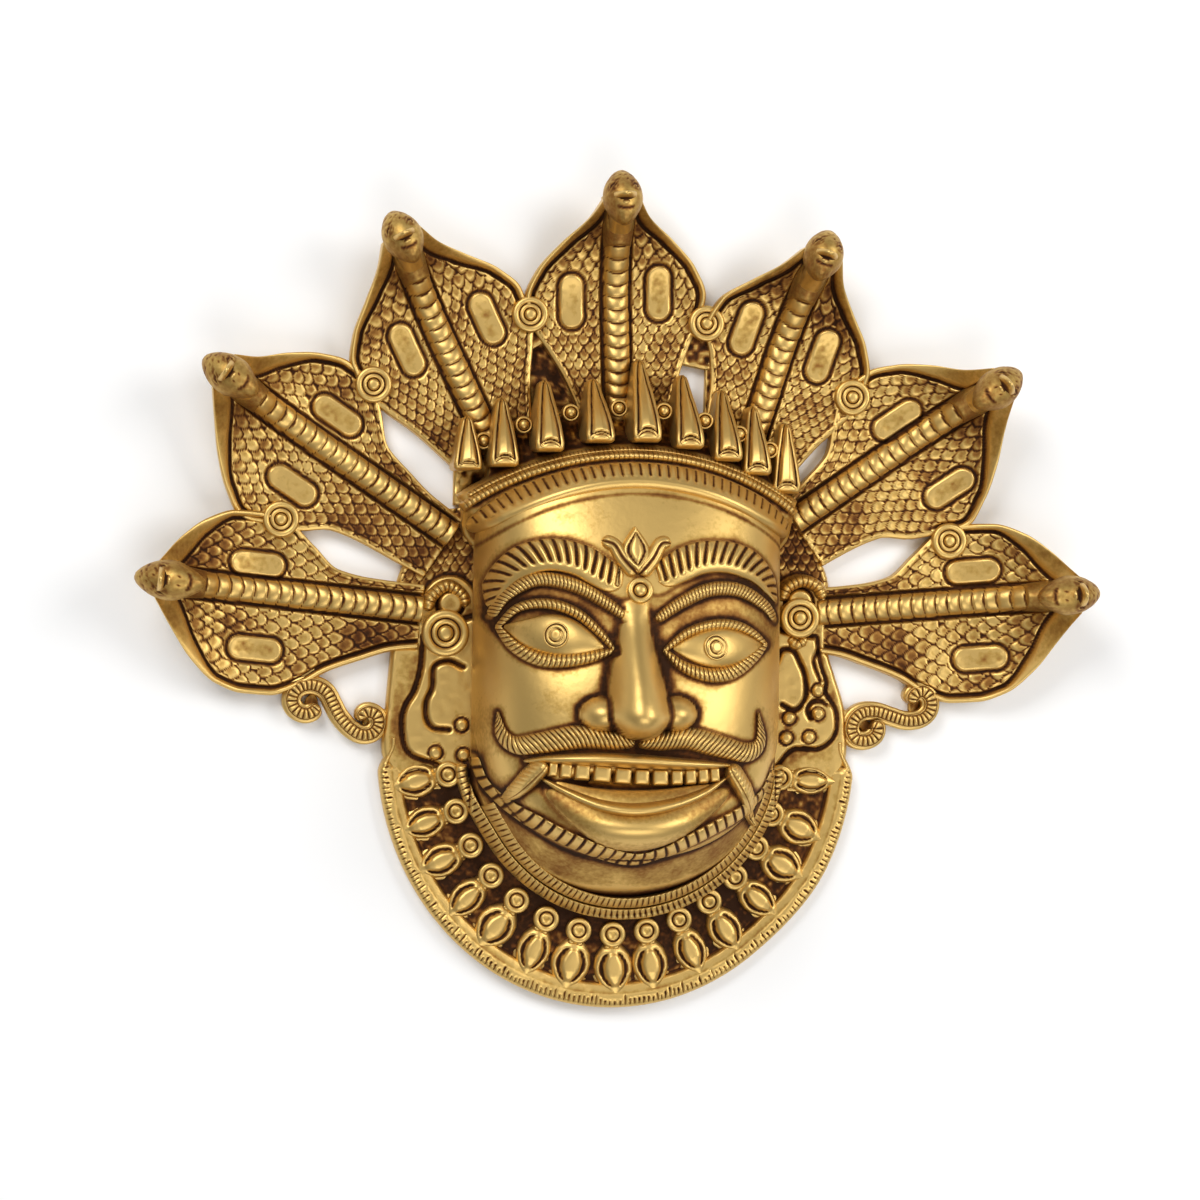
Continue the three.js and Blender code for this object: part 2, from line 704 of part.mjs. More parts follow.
function castMask() {
  const parts = [
    faceDome(),
    ...headband(),
    ...spikes(),
    ...faceFeatures(),
    ...bib(),
    ...[-1, 1].flatMap((side) => [...earPanel(side), ...scroll(side)]),
    ...HOODS.flatMap((hood) => [hoodLeaf(hood), belly(hood), snakeHead(hood), ...ovals(hood)]),
    ...HOOD_BOSSES.map(([x, y]) => ringedBoss(x, y, 5.4, BOSS_R)),
    slab(SLOT_FLOOR, -SPARE, SLOT_TOP),
    ...EAR_BOSSES.map(([x, y, r]) => ringedBoss(x, y, 8, r)),
  ];
  const joined = parts.reduce((whole, part) => whole.add(part));
  const ground = solid(new THREE.BoxGeometry(400, 400, 8).translate(0, 0, -4));
  return joined.subtract(faceHollow()).subtract(bandHollow()).subtract(ground);
}

function meshOf(name, body, material) {
  const { numProp, vertProperties, triVerts } = body.getMesh();
  const points = [];
  for (let i = 0; i < vertProperties.length; i += numProp) {
    points.push([vertProperties[i], vertProperties[i + 1], vertProperties[i + 2]]);
  }
  const geometry = geometryOf(points, [...triVerts]);
  geometry.computeVertexNormals();
  const mesh = new THREE.Mesh(geometry, material);
  mesh.name = name;
  return mesh;
}

const brass = new THREE.MeshStandardMaterial({ color: 0xc9a45a, roughness: 0.35, metalness: 1 });
const mask = meshOf("mask", castMask(), brass);
mask.position.set(-MIDDLE_X, -MIDDLE_Y, 0);

const root = new THREE.Group();
root.add(mask);

export default root;
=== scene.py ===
"""A cast brass mask of a fanged guardian face under seven cobra hoods, lying on its back."""

import math

import bpy
import numpy as np
from mathutils import Matrix, Vector


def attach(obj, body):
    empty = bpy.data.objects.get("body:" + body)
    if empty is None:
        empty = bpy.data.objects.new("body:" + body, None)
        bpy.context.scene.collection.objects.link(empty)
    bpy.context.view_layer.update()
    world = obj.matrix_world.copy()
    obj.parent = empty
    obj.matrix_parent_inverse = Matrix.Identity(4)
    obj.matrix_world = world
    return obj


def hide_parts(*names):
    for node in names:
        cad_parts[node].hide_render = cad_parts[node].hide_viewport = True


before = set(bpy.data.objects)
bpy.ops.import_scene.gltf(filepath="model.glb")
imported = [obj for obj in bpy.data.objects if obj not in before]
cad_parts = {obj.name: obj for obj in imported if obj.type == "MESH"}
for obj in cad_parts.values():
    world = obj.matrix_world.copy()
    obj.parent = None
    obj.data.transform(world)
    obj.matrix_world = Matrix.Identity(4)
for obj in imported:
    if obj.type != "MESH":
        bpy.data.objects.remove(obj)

bl_info = {
    "name": "Cobra Hood Mask",
    "version": (1, 0, 0),
    "blender": (4, 5, 0),
    "location": "View3D > Sidebar > Mask",
    "description": "Builds a cast brass guardian mask with seven cobra hoods",
    "category": "Object",
}

# Drawing coordinates are millimetres, as in the part: X to the viewer's right, Y to the crown.
MM = 0.001
MIDDLE_X = 1.05
MIDDLE_Y = -0.75
WALL = 3.2
PLATE = 4.0
# Least half width of a ribbon, and the sink of one that reaches down to the ground
LEAST_HALF = 0.12
TO_GROUND = -0.0001
# Hollows near and wide: the depth in millimetres that counts in full, and its share of the
# darkening, which is partly patina and partly painted shade. The near ones are measured after a few
# rounds of levelling.
NEAR_HOLLOW = (0.12, 0.45)
WIDE_HOLLOW = (0.4, 0.55)
NEAR_ROUNDS = 4

# Hoods: half widths at distances behind the middle of the head
STATIONS = [-2, 3, 9, 16, 23, 30, 37, 44, 52, 60, 70]
HALF_WIDTHS = {
    "crest": [4, 7.4, 14.3, 20.7, 23.6, 21.8, 17.6, 13.7, 10.5, 8.3, 8],
    "stout": [4, 7.4, 14.3, 20.7, 23.6, 21.6, 18.6, 16, 14, 12.4, 12],
    "plain": [5, 8.2, 14, 20.8, 24.2, 24, 21, 17, 13.5, 10.7, 10],
    "slim": [5, 8.2, 14, 20, 21.4, 17.6, 15, 13.6, 12.4, 11, 10],
    "upper": [5, 8.2, 14, 19, 21.5, 21.2, 15.8, 9.2, 7.2, 5.6, 5],
    "lower": [4.6, 10.6, 17.5, 23.5, 27, 24.5, 21.5, 16.5, 14.8, 14, 13],
    "shelf": [4.6, 11.4, 16.8, 19.8, 20.2, 18.5, 13.2, 7.8, 6.6, 6.4, 6.4],
    "free": [4.8, 11.8, 19.2, 24.6, 26.4, 26.2, 23.4, 18.6, 14.8, 11.5, 9.5],
}
# Where the rolled rim of an outline runs out, behind the middle of the head
RIM_ENDS = {"crest": 24, "stout": 24, "plain": 24, "slim": 22, "upper": 26, "lower": 27,
            "shelf": 24, "free": 90}
# Name, base, head, outlines on the left and right, the two pads as (distance, aside), how much
# broader the rim gets beside the head, half the length and the nod of the head, and how much
# smaller the scales get towards the foot
HOODS = [
    ("crest", (1.1, 40), (-1.4, 98.3), ("crest", "stout"), ((23.9, -11.5), (22.2, 11.2)),
     0.1, 7.9, 0.6, 0.2),
    ("upper_left", (-30.6, 33.7), (-56.8, 86.8), ("plain", "plain"), ((24.8, -9.3), (26.2, 12.8)),
     0.5, 7.9, 0.6, 0.2),
    ("upper_right", (34.7, 35.1), (50.2, 84.8), ("slim", "plain"), ((20.8, -10.5), (21.2, 10.7)),
     0.1, 7.5, 0.6, 0.2),
    ("middle_left", (-41.8, 13.1), (-100.1, 51.9), ("lower", "upper"), ((29.1, -12.8), (28.4, 8.5)),
     1.1, 8.8, 0.5, 0.1),
    ("middle_right", (47.3, 18.3), (96.9, 53.2), ("upper", "lower"), ((23.1, -6.5), (21.6, 15.9)),
     1.1, 8.8, 0.5, 0.1),
    ("lower_left", (-49.2, -6.1), (-115.3, 0.4), ("free", "shelf"), ((25, -14.8), (23.3, 6.8)),
     1.25, 9.4, 0.42, -0.05),
    ("lower_right", (54, -5.3), (117.6, 0.4), ("shelf", "free"), ((21.9, -7.8), (21.6, 15.0)),
     1.25, 9.4, 0.42, -0.05),
]
# Spacing of the grid of a hood, and the width that the number of its columns is meant for
HOOD_GRID = 0.41
HOOD_WIDE = 50
TIP_LIFT = 12
SIDE_CURL = 2.5
BELLY_HALF = 3.3
BELLY_HIGH = 3
PAD_HALF = 3.35
PAD_LONG = 7.2
# What closes the gap between the crest and the hood to its left: a low plate painted dark as the
# shade in the slot, and webs
SLOT_SHADE_PLATE = [(-22, 66), (-22.4, 45), (-17, 63.6), (-8.6, 45)]
SLOT_WEBS = [[(15.5, 69), (27, 69), (16.8, 58.6), (25.5, 57)],
             [(23.9, 60), (27, 60), (23.6, 44), (26.5, 44)],
             [(-28, 71), (-17, 71), (-26, 58.5), (-17, 64.5)]]
SIDE_WEB = [(-41.4, 37.5), (-28, 37.5), (-41.4, 21), (-28, 21)]
HEAD = {"long": 7.5, "wide": 5.1, "thick": 5.8, "height": 21.9, "reach": 7.4}
PUNCH_MARKS = [(-1.7, -2.2), (1.9, -2.6), (0.2, -3.8), (-2.6, -4.4), (2.7, -4.9), (-0.8, -5.6)]

HOOD_BOSSES = [(-22.6, 70.3), (23.4, 69.1), (-62.7, 51.3), (62.2, 50.9), (-85.8, 16.4), (88.6, 14)]
EAR_BOSSES = [(-43.4, -12, 6.1), (48.8, -6.7, 5.2)]
BOSS_R = 4.7

# Face, between the headband above and the jaw below
FACE_X = 1
FACE_HALF = 41.3
FACE_LEFT = 0.91
FACE_EDGE = 8
FACE_FRONT = 45
FACE_ROUND = 2.5
# Share of the rows of the face's grid that lie on the neck, below the jaw
NECK = 1 / 7
JAW = {"y": -33, "half": 41.3, "deep": 35, "z": 31, "round": 10}
COLLAR = {"y": -38, "half": 43.5, "deep": 44.5, "z": 11}
EYES = [(-19.6, -12.2), (20.6, -14.6)]
# Sockets, mouth and chin: middle, half widths and height
FACE_FORMS = [(-19.6, -12.2, 15, 10, -2), (20.6, -14.6, 15, 10, -2), (1, -47.4, 20, 4, -3),
              (1, -60, 15, 5, 2.2)]
# Nose: its middle, half width and height at distances below the third eye, and its wings
NOSE = {
    "down": [2, 9, 17, 25, 31, 39],
    "middle": [0.6, 0.4, 0.4, 0.8, 1.1, 1.6],
    "half": [3.4, 4.2, 6.4, 7.8, 8.0, 7.2],
    "high": [0, 2.6, 7.2, 11, 13, 13.4],
}
NOSE_END = 31
NOSE_TIP = 7
NOSE_WINGS = [(-7.8, -31.2), (10.4, -30.9)]
NOSE_WING = {"long": 5.8, "wide": 4.6, "high": 5.8}

# Headband, an arc from cheek to cheek
BAND = {"x": 3, "y": -40.8, "r": 70, "low": 15, "rise": 14, "half": 42}
SHOULDER = {"inner": 65, "reach": 68, "bend": 75, "outer": 87, "edge": 3.4, "share": 0.9}
# How far each spike stands aside, how far its foot stands back and how much it is cut short
SPIKES = [(-39, 3.4, 3.4), (-30.2, 0, 0), (-19.2, 0, 0), (-6.7, 0, 2.6), (5.2, 0, -1.6),
          (16.4, 0, 0), (26.8, 0, 0), (35, 0, 0), (43.6, 0, -1)]
SPIKE = {"x": 1.5, "reach": 43.5, "long": 18.8, "shorter": 0.75, "half": 3.4, "base": 38.8,
         "drop": 0.0068}
KNOB_PITCH = 2.35

# Bib below the chin
BIB = {"x": 1.3, "y": -41, "half": 61.3, "deep": 67.2}
NECKLACE = {"x": 3.2, "y": -41, "half": 40.8, "deep": 42.6}
# Radius at which angles on the bib become lengths along its rim
BIB_R = 64
PENDANTS = 15
PENDANT_REACH = 1.42
# The middle line of a pendant: shares of the bib's outline, and how much of its lean it has
PENDANT_LINE = [(0.75, 0.0), (0.81, 0.3), (0.87, 0.6), (0.925, 0.9), (0.965, 1.0)]

# Lines of the face
BROWS = [
    [(-34.2, -5.1), (-32, 1.8), (-27, 6.4), (-20.4, 8.2), (-13.2, 7), (-7.5, 3.8), (-2.6, 1)],
    [(39.4, -2.5), (35.9, 2.8), (30.6, 6.7), (24, 8.4), (17.1, 7.9), (10.8, 5.2), (6.3, 2.2)],
]
LIDS = [
    [(-33.9, -7.5), (-30.5, -2), (-23.4, 2), (-14.6, 0.7), (-7, -3.4), (-2.1, -6.9)],
    [(38.8, -7), (34.9, -3.3), (27.5, 0.2), (19.6, 0.1), (12, -3.4), (5.8, -7.7)],
]
EYE_TOPS = [
    [(-32.6, -10.3), (-27.8, -5.2), (-21, -4), (-14, -6.2), (-8.1, -11.2), (-4.5, -15.6)],
    [(36, -13.7), (32.1, -10.8), (27.1, -8.8), (21, -8.6), (14, -10.7), (7.7, -15.4)],
]
EYE_FEET = [
    [(-32.6, -9.7), (-28.7, -14.7), (-23.3, -17.7), (-17.5, -18.1), (-10.6, -17.1), (-4.5, -15.2)],
    [(36, -13.3), (31.6, -17), (25.5, -20.5), (19, -21.1), (12.6, -19), (7.7, -15)],
]
EYEBALLS = [
    [(-30.9, -9.9), (-24.8, -11.3), (-19, -11.8), (-12.9, -13.2), (-7.3, -14.6)],
    [(10.2, -14.6), (16.1, -14.6), (22.3, -14.3), (28.5, -14.1), (34.8, -13.7)],
]
IRISES = [(-19.1, -11.8), (21.1, -14.2)]
WHISKERS = [
    [(0.4, -38.4), (-6.7, -37.4), (-13.9, -37), (-22.2, -38.6), (-27.9, -39.4), (-31.1, -36.9),
     (-32.2, -31.3)],
    [(1.2, -38.6), (7.2, -37.6), (14.1, -37), (23, -39.1), (30.1, -40.5), (34, -37.8),
     (33.2, -30.5)],
]
UPPER_LIP = [(-26.3, -43.3), (-19.7, -42.6), (-9.1, -42.4), (1.2, -42.8), (13.5, -43.4),
             (25.4, -43.7)]
INNER_LIP = [(-18.8, -48.5), (-10.5, -51.2), (-1.3, -52.3), (8.8, -51.7), (20.6, -48.9)]
LOWER_LIP = [(-21.9, -47.6), (-16.3, -50.5), (-8.1, -53.7), (0.8, -54.7), (10.3, -53.3),
             (18.6, -50.3), (24.3, -46.8)]
CHIN = [(-20.9, -50.5), (-13.6, -55.3), (-6.1, -59.3), (0.7, -60.4), (8.1, -58.9), (16.7, -54.7),
        (25, -49.9)]
TEETH = {"line": [(-20.8, -45.1), (-10, -45.9), (1, -46.8), (12, -46.8), (22.6, -46)],
         "widths": [2.6, 3.4, 4.4, 5.2, 4.9, 4.3, 4.6, 3.4, 3.2, 3.0, 2.8],
         "high": 4.3, "deep": 3.1}
FANGS = [
    [(-21.2, -43.3), (-25.4, -48), (-30.6, -54.2)],
    [(24.8, -43.6), (29.4, -50), (35.2, -60)],
]
FANG_FLOOR = 22
STRAP = [(-36.3, -43.2), (-34.3, -49), (-30.6, -53.5), (-26.3, -56.6), (-20.6, -59.8),
         (-13.5, -63.2), (-5.3, -66.3), (2.3, -67.8), (8.8, -66.1), (14.9, -62.7), (22, -59.1),
         (29.3, -55.6), (36.2, -51.4), (39.6, -44.8)]
THIRD_EYE = (1.8, -0.4)
LOTUS_BUD = [(1.2, 4.6), (0.9, 10.2), (0.8, 15.6)]
LOTUS_LEAVES = [[(1.2, 3.6), (-2.4, 7.6), (-4.6, 11.0), (-7.6, 12.0)],
                [(1.6, 3.6), (5.0, 7.6), (7.4, 11.4), (10.0, 11.6)]]

# Ear panels, from the face to the free edge, and the ear that is raised on each: its outline,
# its cuts, curls, disc and dots, and the x past which the panel lies low under scales, with the
# way to go from there
EARS = {
    "left": {
        "inner": [(-35, -51.4), (-35, -30), (-35, -10), (-36, 20.6)],
        "edge": [(-50.5, -52.5), (-57.4, -46), (-58.9, -40.5), (-58, -30.9), (-57.1, -19.5),
                 (-56, -8), (-55, 3), (-46, 19.6)],
        "raised": [(-48.4, -13), (-48.8, -20.8), (-50.4, -27), (-52.5, -30.7), (-53.4, -34.4),
                   (-52.9, -39.9), (-51.2, -42.8), (-47.9, -44.2), (-44.6, -45.3), (-38, -50),
                   (-30, -50), (-30, -10)],
        "cuts": [
            [(-38.5, -20.6), (-42.4, -19.1), (-46, -20.7), (-46.4, -25.8), (-47.9, -29.7),
             (-47.8, -33.8), (-46, -36.3), (-42, -36.8)],
        ],
        "curls": [[(-48, -6.5), (-46.8, -2.6), (-42.8, 0.2), (-39, -2.2), (-38.2, -5.4)]],
        "disc": (-42, -4.4, 3.2),
        "low": (-49.6, -1),
        "dots": [(-38.7, -35.5), (-45.3, -42.7), (-38.1, -43.2)],
    },
    "right": {
        "inner": [(37, -51.4), (37, -30), (37, -10), (38, 20.6)],
        "edge": [(54.6, -52), (61.4, -46), (62.6, -39.6), (62, -31.8), (61.1, -27.5),
                 (59.2, -21.9), (57.2, -15), (57.4, -5), (56.6, 5), (49, 19.6)],
        "raised": [(53.4, -12), (54.2, -17.6), (55, -20.4), (56, -23.6), (55.8, -26.2),
                   (58.5, -30.5), (59, -34.8), (57.8, -37.9), (54.7, -40.1), (50.3, -40.1),
                   (46.8, -41), (41, -47), (32, -48), (32, -12)],
        "cuts": [
            [(43.1, -18), (44.6, -15.1), (47.5, -15.3), (49.4, -18.4), (50.8, -22),
             (51.1, -26.9), (49.6, -29.8), (47.5, -30.6), (44.9, -29.3)],
            [(52.4, -32.6), (51.6, -30.4), (52.7, -28.6), (54.8, -28.2), (56.6, -29)],
            [(54.2, -15.4), (53.2, -18.2), (54.9, -22.6)],
        ],
        "curls": [[(44.4, -2.4), (45.6, 1), (49.8, 2.9), (53.8, 1.4), (55.4, -1.8)],
                  [(46, -11.6), (48.4, -13.6), (51.2, -11.8)]],
        "disc": (49.2, -2.6, 3.4),
        "low": (55.6, 1),
        "dots": [(54.2, -25.4), (46.7, -32.7), (54.3, -31.5), (46, -37.9), (52, -37.6)],
    },
}
EAR_TOP = 6
EAR_RISE = 1.6
SCROLLS = {
    "left": [(-75.3, -30.9), (-76.9, -32.7), (-79, -33.2), (-81.2, -32.1), (-82.2, -30),
             (-81.5, -27.6), (-79.2, -26), (-76.3, -25.9), (-73.4, -27.5), (-71.6, -30.6),
             (-69.9, -33.7), (-67.3, -36.6), (-64.4, -38.3), (-61.6, -38), (-60, -36),
             (-60.3, -33.6), (-62.3, -32.5), (-64, -33.4), (-63.8, -34.8)],
    "right": [(79.4, -28.7), (80.1, -26.3), (82.5, -25.4), (84.5, -27.4), (84.4, -30.4),
              (82.1, -32.6), (78.2, -33.1), (74.2, -32), (70.2, -30.8), (66.7, -31),
              (64.3, -32.8), (63.5, -35.6), (64.8, -38), (67.7, -38.4), (70, -37.1),
              (70.5, -34.9), (69, -33.9)],
}
SCROLL_TOP = 4.4
# What joins each scroll to the hood above it and to the ear beside it
SCROLL_WEBS = {
    "left": [[(-79.5, -21), (-78, -27)], [(-57, -35), (-62, -35)]],
    "right": [[(84.2, -22), (82.5, -28)], [(60, -33.6), (65, -34)]],
}

# Lights: place, size in metres and power in watts
LIGHTS = {
    "key": ((-0.55, 0.7, 0.95), 0.6, 9),
    "fill": ((0.8, 0.25, 0.8), 0.6, 6),
    "front": ((0.1, -0.75, 1.0), 0.8, 5),
}
# Camera: degrees to the side and of roll, shifts in the drawing's millimetres, height of what it
# looks at, and the lens in millimetres for each metre of distance
CAMERA = {"azimuth": -8, "roll": 0.94, "right": -4.23, "up": -2.82, "target": 12, "lens": 117}


def smooth(t):
    """Rises from 0 to 1 without a slope at either end."""
    c = np.clip(t, 0, 1)
    return c * c * (3 - 2 * c)


def bump(x, y, half_x, half_y):
    """A round hill of height one."""
    return np.exp(-((x / half_x) ** 2) - (y / half_y) ** 2)


def groove(away, width):
    """One where away is zero, falling to zero on both sides."""
    return np.exp(-((away / width) ** 2))


def cuts(along, pitch, width):
    """One in the cuts that cross a ribbed form at even steps, falling to zero beside them."""
    away = (along / pitch - np.round(along / pitch)) * pitch
    return groove(away, width)


def mottle(x, y, pitch, seed):
    """Smooth noise between -1 and 1, with patches of about the given size."""
    knots = np.random.default_rng(seed).uniform(-1, 1, (64, 64))
    gx, gy = np.asarray(x) / pitch + 32, np.asarray(y) / pitch + 32
    i, j = np.floor(gx).astype(int), np.floor(gy).astype(int)
    fx, fy = smooth(gx - i), smooth(gy - j)
    near = [[knots[(i + a) % 64, (j + b) % 64] for b in (0, 1)] for a in (0, 1)]
    low = near[0][0] * (1 - fx) + near[1][0] * fx
    high = near[0][1] * (1 - fx) + near[1][1] * fx
    return low * (1 - fy) + high * fy


def place(points):
    """Metres in the frame for millimetres in the drawing."""
    return (np.asarray(points, float) - (MIDDLE_X, MIDDLE_Y, 0)) * MM


def sizes():
    return bpy.context.scene.mask_sizes


def level(height):
    """A floor of one height, for a strip to lie on."""
    return lambda x, y: np.full_like(x, height)


def toned(dark):
    """Detail of a plain strip that is only darker or lighter all over."""
    return lambda s, v, share: (0, dark)


def through(shares, values):
    """A width or height that is given at some shares of the length of a strip."""
    return lambda share: np.interp(share, shares, values)


def swell(least, most, power=0.7):
    """A width or height that grows from both ends of a strip to its middle."""
    def half(share):
        return least + (most - least) * np.sin(np.pi * np.clip(share, 0.0, 1.0)) ** power
    return half


class Line:
    """A smooth line through a few places of the drawing, kept as close samples."""

    def __init__(self, points, step=0.3):
        p = np.array(points, float)
        q = np.vstack([2 * p[0] - p[1], p, 2 * p[-1] - p[-2]])
        t = np.linspace(0, 1, 24, endpoint=False)[:, None]
        parts = [
            0.5 * (2 * b + (c - a) * t + (2 * a - 5 * b + 4 * c - d) * t**2
                   + (3 * b - a - 3 * c + d) * t**3)
            for a, b, c, d in zip(q, q[1:], q[2:], q[3:])
        ]
        dense = np.vstack(parts + [p[-1:]])
        run = np.concatenate([[0], np.cumsum(np.hypot(*np.diff(dense, axis=0).T))])
        self.long = run[-1]
        self.s = np.linspace(0, self.long, max(int(self.long / step), 4) + 1)
        self.x = np.interp(self.s, run, dense[:, 0])
        self.y = np.interp(self.s, run, dense[:, 1])
        dx, dy = np.gradient(self.x, self.s), np.gradient(self.y, self.s)
        size = np.hypot(dx, dy)
        self.nx, self.ny = -dy / size, dx / size

    def at(self, s):
        return np.interp(s, self.s, self.x), np.interp(s, self.s, self.y)

    def nearest(self, x, y, reach):
        """How far each place lies from the line, and the length along it."""
        away = np.full(x.shape, 99.0)
        along = np.zeros(x.shape)
        near = (x > self.x.min() - reach) & (x < self.x.max() + reach)
        near &= (y > self.y.min() - reach) & (y < self.y.max() + reach)
        index = np.flatnonzero(near)
        for part in np.array_split(index, len(index) // 4000 + 1):
            d2 = (x.flat[part][:, None] - self.x) ** 2 + (y.flat[part][:, None] - self.y) ** 2
            k = d2.argmin(axis=1)
            away.flat[part] = np.sqrt(d2[np.arange(len(part)), k])
            along.flat[part] = self.s[k]
        return away, along


# Meshes from grids of points

def grid_faces(rows, columns, first=0, turned=False):
    a = (np.arange(rows - 1)[:, None] * columns + np.arange(columns - 1)).ravel() + first
    quads = np.stack([a, a + 1, a + columns + 1, a + columns], axis=1)
    return quads[:, ::-1] if turned else quads


def rim_of(rows, columns, first=0):
    """The points round a grid, in the order of its own turn, and the first again."""
    index = np.arange(rows * columns).reshape(rows, columns) + first
    ring = np.concatenate([index[0, :-1], index[:-1, -1], index[-1, :0:-1], index[:0:-1, 0]])
    return np.append(ring, ring[0])


def plate(front, drop, coarse=4):
    """A closed plate: a fine front grid, and a coarse back that drop(points) lays below it."""
    rows, columns = front.shape[:2]
    back = drop(front[::coarse, ::coarse])
    low_rows, low_columns = back.shape[:2]
    under = rows * columns
    fine = rim_of(rows, columns)
    low = rim_of(low_rows, low_columns, under)
    count = len(low) - 1
    starts = fine[:-1].reshape(count, coarse)
    ends = fine[1:].reshape(count, coarse)
    foot = np.repeat(low[:-1], coarse)
    walls = np.stack([ends.ravel(), starts.ravel(), foot], axis=1)
    feet = np.stack([low[:-1], low[1:], ends[:, -1]], axis=1)
    points = np.vstack([front.reshape(-1, 3), back.reshape(-1, 3)])
    faces = [
        grid_faces(rows, columns),
        grid_faces(low_rows, low_columns, under, turned=True),
        walls,
        feet,
    ]
    return points, faces


def flat_back(points):
    return points * (1, 1, 0)


def at_height(points, z):
    return np.concatenate([points[..., :2], z[..., None]], axis=-1)


def grounded(back):
    """Heights of a hollow back whose edge comes down to the ground."""
    back[[0, -1]] = back[:, [0, -1]] = 0
    return back


class Relief:
    """Heights, and tarnish with painted shade, over a grid of places, to which one form after
    another is added.
    """

    def __init__(self, x, y, z, dark=0.0):
        self.x, self.y, self.z = x, y, z
        self.dark = dark + np.zeros_like(z)

    def add(self, height=0.0, dark=0.0):
        self.z = self.z + height
        self.dark = self.dark + dark

    def noise(self, pitch, seed):
        return mottle(self.x, self.y, pitch, seed)

    def body(self, drop=flat_back, under=0.25):
        """A closed plate with this front; under is the painted shade and tarnish of its walls and
        back.
        """
        points, faces = plate(np.stack([self.x, self.y, self.z], axis=-1), drop)
        tarnish_and_shade = np.full(len(points), under)
        tarnish_and_shade[: self.dark.size] = self.dark.ravel()
        return points, faces, tarnish_and_shade


def tube_faces(rows, around):
    """Quads between closed rings of points, and a fan of triangles over each end."""
    ring = np.arange(around)
    start = np.arange(rows - 1)[:, None] * around
    a, b = (start + ring).ravel(), (start + np.roll(ring, -1)).ravel()
    fan = np.stack([np.zeros(around - 2, int), ring[2:], ring[1:-1]], axis=1)
    last = (rows - 1) * around
    return [np.stack([a, b, b + around, a + around], axis=1), fan, fan[:, ::-1] + last]


def strip(line, floor, half, high, sink=1.2, columns=13, detail=None, edge_round=True,
          power=2.0, side=0.9):
    """A raised ribbon along a line. Half and high give its half width and height for each share
    of its length, and floor the height it lies on. It reaches sink below the floor, or down to
    -sink where that is negative. Detail adds relief, tarnish and painted shade, power squares its
    cross section, and side is the painted shade on its walls."""
    share = line.s / line.long
    half_at = half(share) if callable(half) else np.full(share.shape, float(half))
    high_at = high(share) if callable(high) else np.full(share.shape, float(high))
    if edge_round:
        end = np.minimum(line.s, line.long - line.s)
        cap = np.sqrt(1 - (1 - np.clip(end / np.maximum(half_at, 0.3), 0, 1)) ** 2)
        half_at = half_at * np.maximum(cap, LEAST_HALF)
        high_at = high_at * np.maximum(cap, 0.1)
    half_at = np.maximum(half_at, LEAST_HALF)
    v = np.sin(np.linspace(-math.pi / 2, math.pi / 2, columns))
    x = line.x[:, None] + line.nx[:, None] * half_at[:, None] * v
    y = line.y[:, None] + line.ny[:, None] * half_at[:, None] * v
    ground = floor(x, y)
    z = ground + high_at[:, None] * (1 - np.abs(v) ** power) ** (1 / power)
    # painted shade along both edges of the ribbon, where it meets what it lies on
    dark = 0.55 * smooth((np.abs(v) - 0.86) / 0.14) + np.zeros_like(z)
    if detail:
        extra, tarnish_and_shade = detail(line.s[:, None], v + np.zeros_like(z), share[:, None])
        z, dark = z + extra, dark + tarnish_and_shade
    low = ground[:, [-1, 0]] - sink if sink > 0 else np.full((len(share), 2), -float(sink))
    corners = [np.hstack([x, x[:, [-1, 0]]]), np.hstack([y, y[:, [-1, 0]]]), np.hstack([z, low])]
    points = np.stack(corners, axis=-1)
    darks = np.hstack([dark, np.full((len(share), 2), side)])
    return points.reshape(-1, 3), tube_faces(*points.shape[:2]), darks.ravel()


def volume(points, faces):
    """Six times the volume, negative where the faces look inward."""
    total = 0.0
    for polygon in faces:
        a = points[polygon[:, 0]]
        for i in range(1, polygon.shape[1] - 1):
            b, c = points[polygon[:, i]], points[polygon[:, i + 1]]
            total += np.einsum("ij,ij->i", a, np.cross(b, c)).sum()
    return total


def add_piece(name, bodies, wear_and_shade=1.0):
    """One mesh object from closed bodies of (points, faces, tarnish and painted shade), in drawing
    millimetres.
    """
    points, corners, counts, tarnish_and_shade, first = [], [], [], [], 0
    for body_points, faces, dark in bodies:
        turn = volume(body_points, faces) < 0
        for polygon in faces:
            ordered = polygon[:, ::-1] if turn else polygon
            corners.append((ordered + first).ravel())
            counts.append(np.full(len(ordered), ordered.shape[1]))
        points.append(body_points)
        tarnish_and_shade.append(np.zeros(len(body_points)) + dark)
        first += len(body_points)
    mesh = bpy.data.meshes.new(name)
    mesh.vertices.add(first)
    mesh.vertices.foreach_set("co", place(np.vstack(points)).astype(np.float32).ravel())
    corners = np.concatenate(corners).astype(np.int32)
    starts = np.concatenate([[0], np.cumsum(np.concatenate(counts))[:-1]]).astype(np.int32)
    mesh.loops.add(len(corners))
    mesh.loops.foreach_set("vertex_index", corners)
    mesh.polygons.add(len(starts))
    mesh.polygons.foreach_set("loop_start", starts)
    mesh.update(calc_edges=True)
    piece = bpy.data.objects.new(name, mesh)
    bpy.context.collection.objects.link(piece)
    finish_piece(piece, np.concatenate(tarnish_and_shade), 24, wear_and_shade)
    return piece


def vertex_values(mesh, name):
    values = np.empty(len(mesh.vertices) * 3)
    mesh.vertices.foreach_get(name, values)
    return values.reshape(-1, 3)


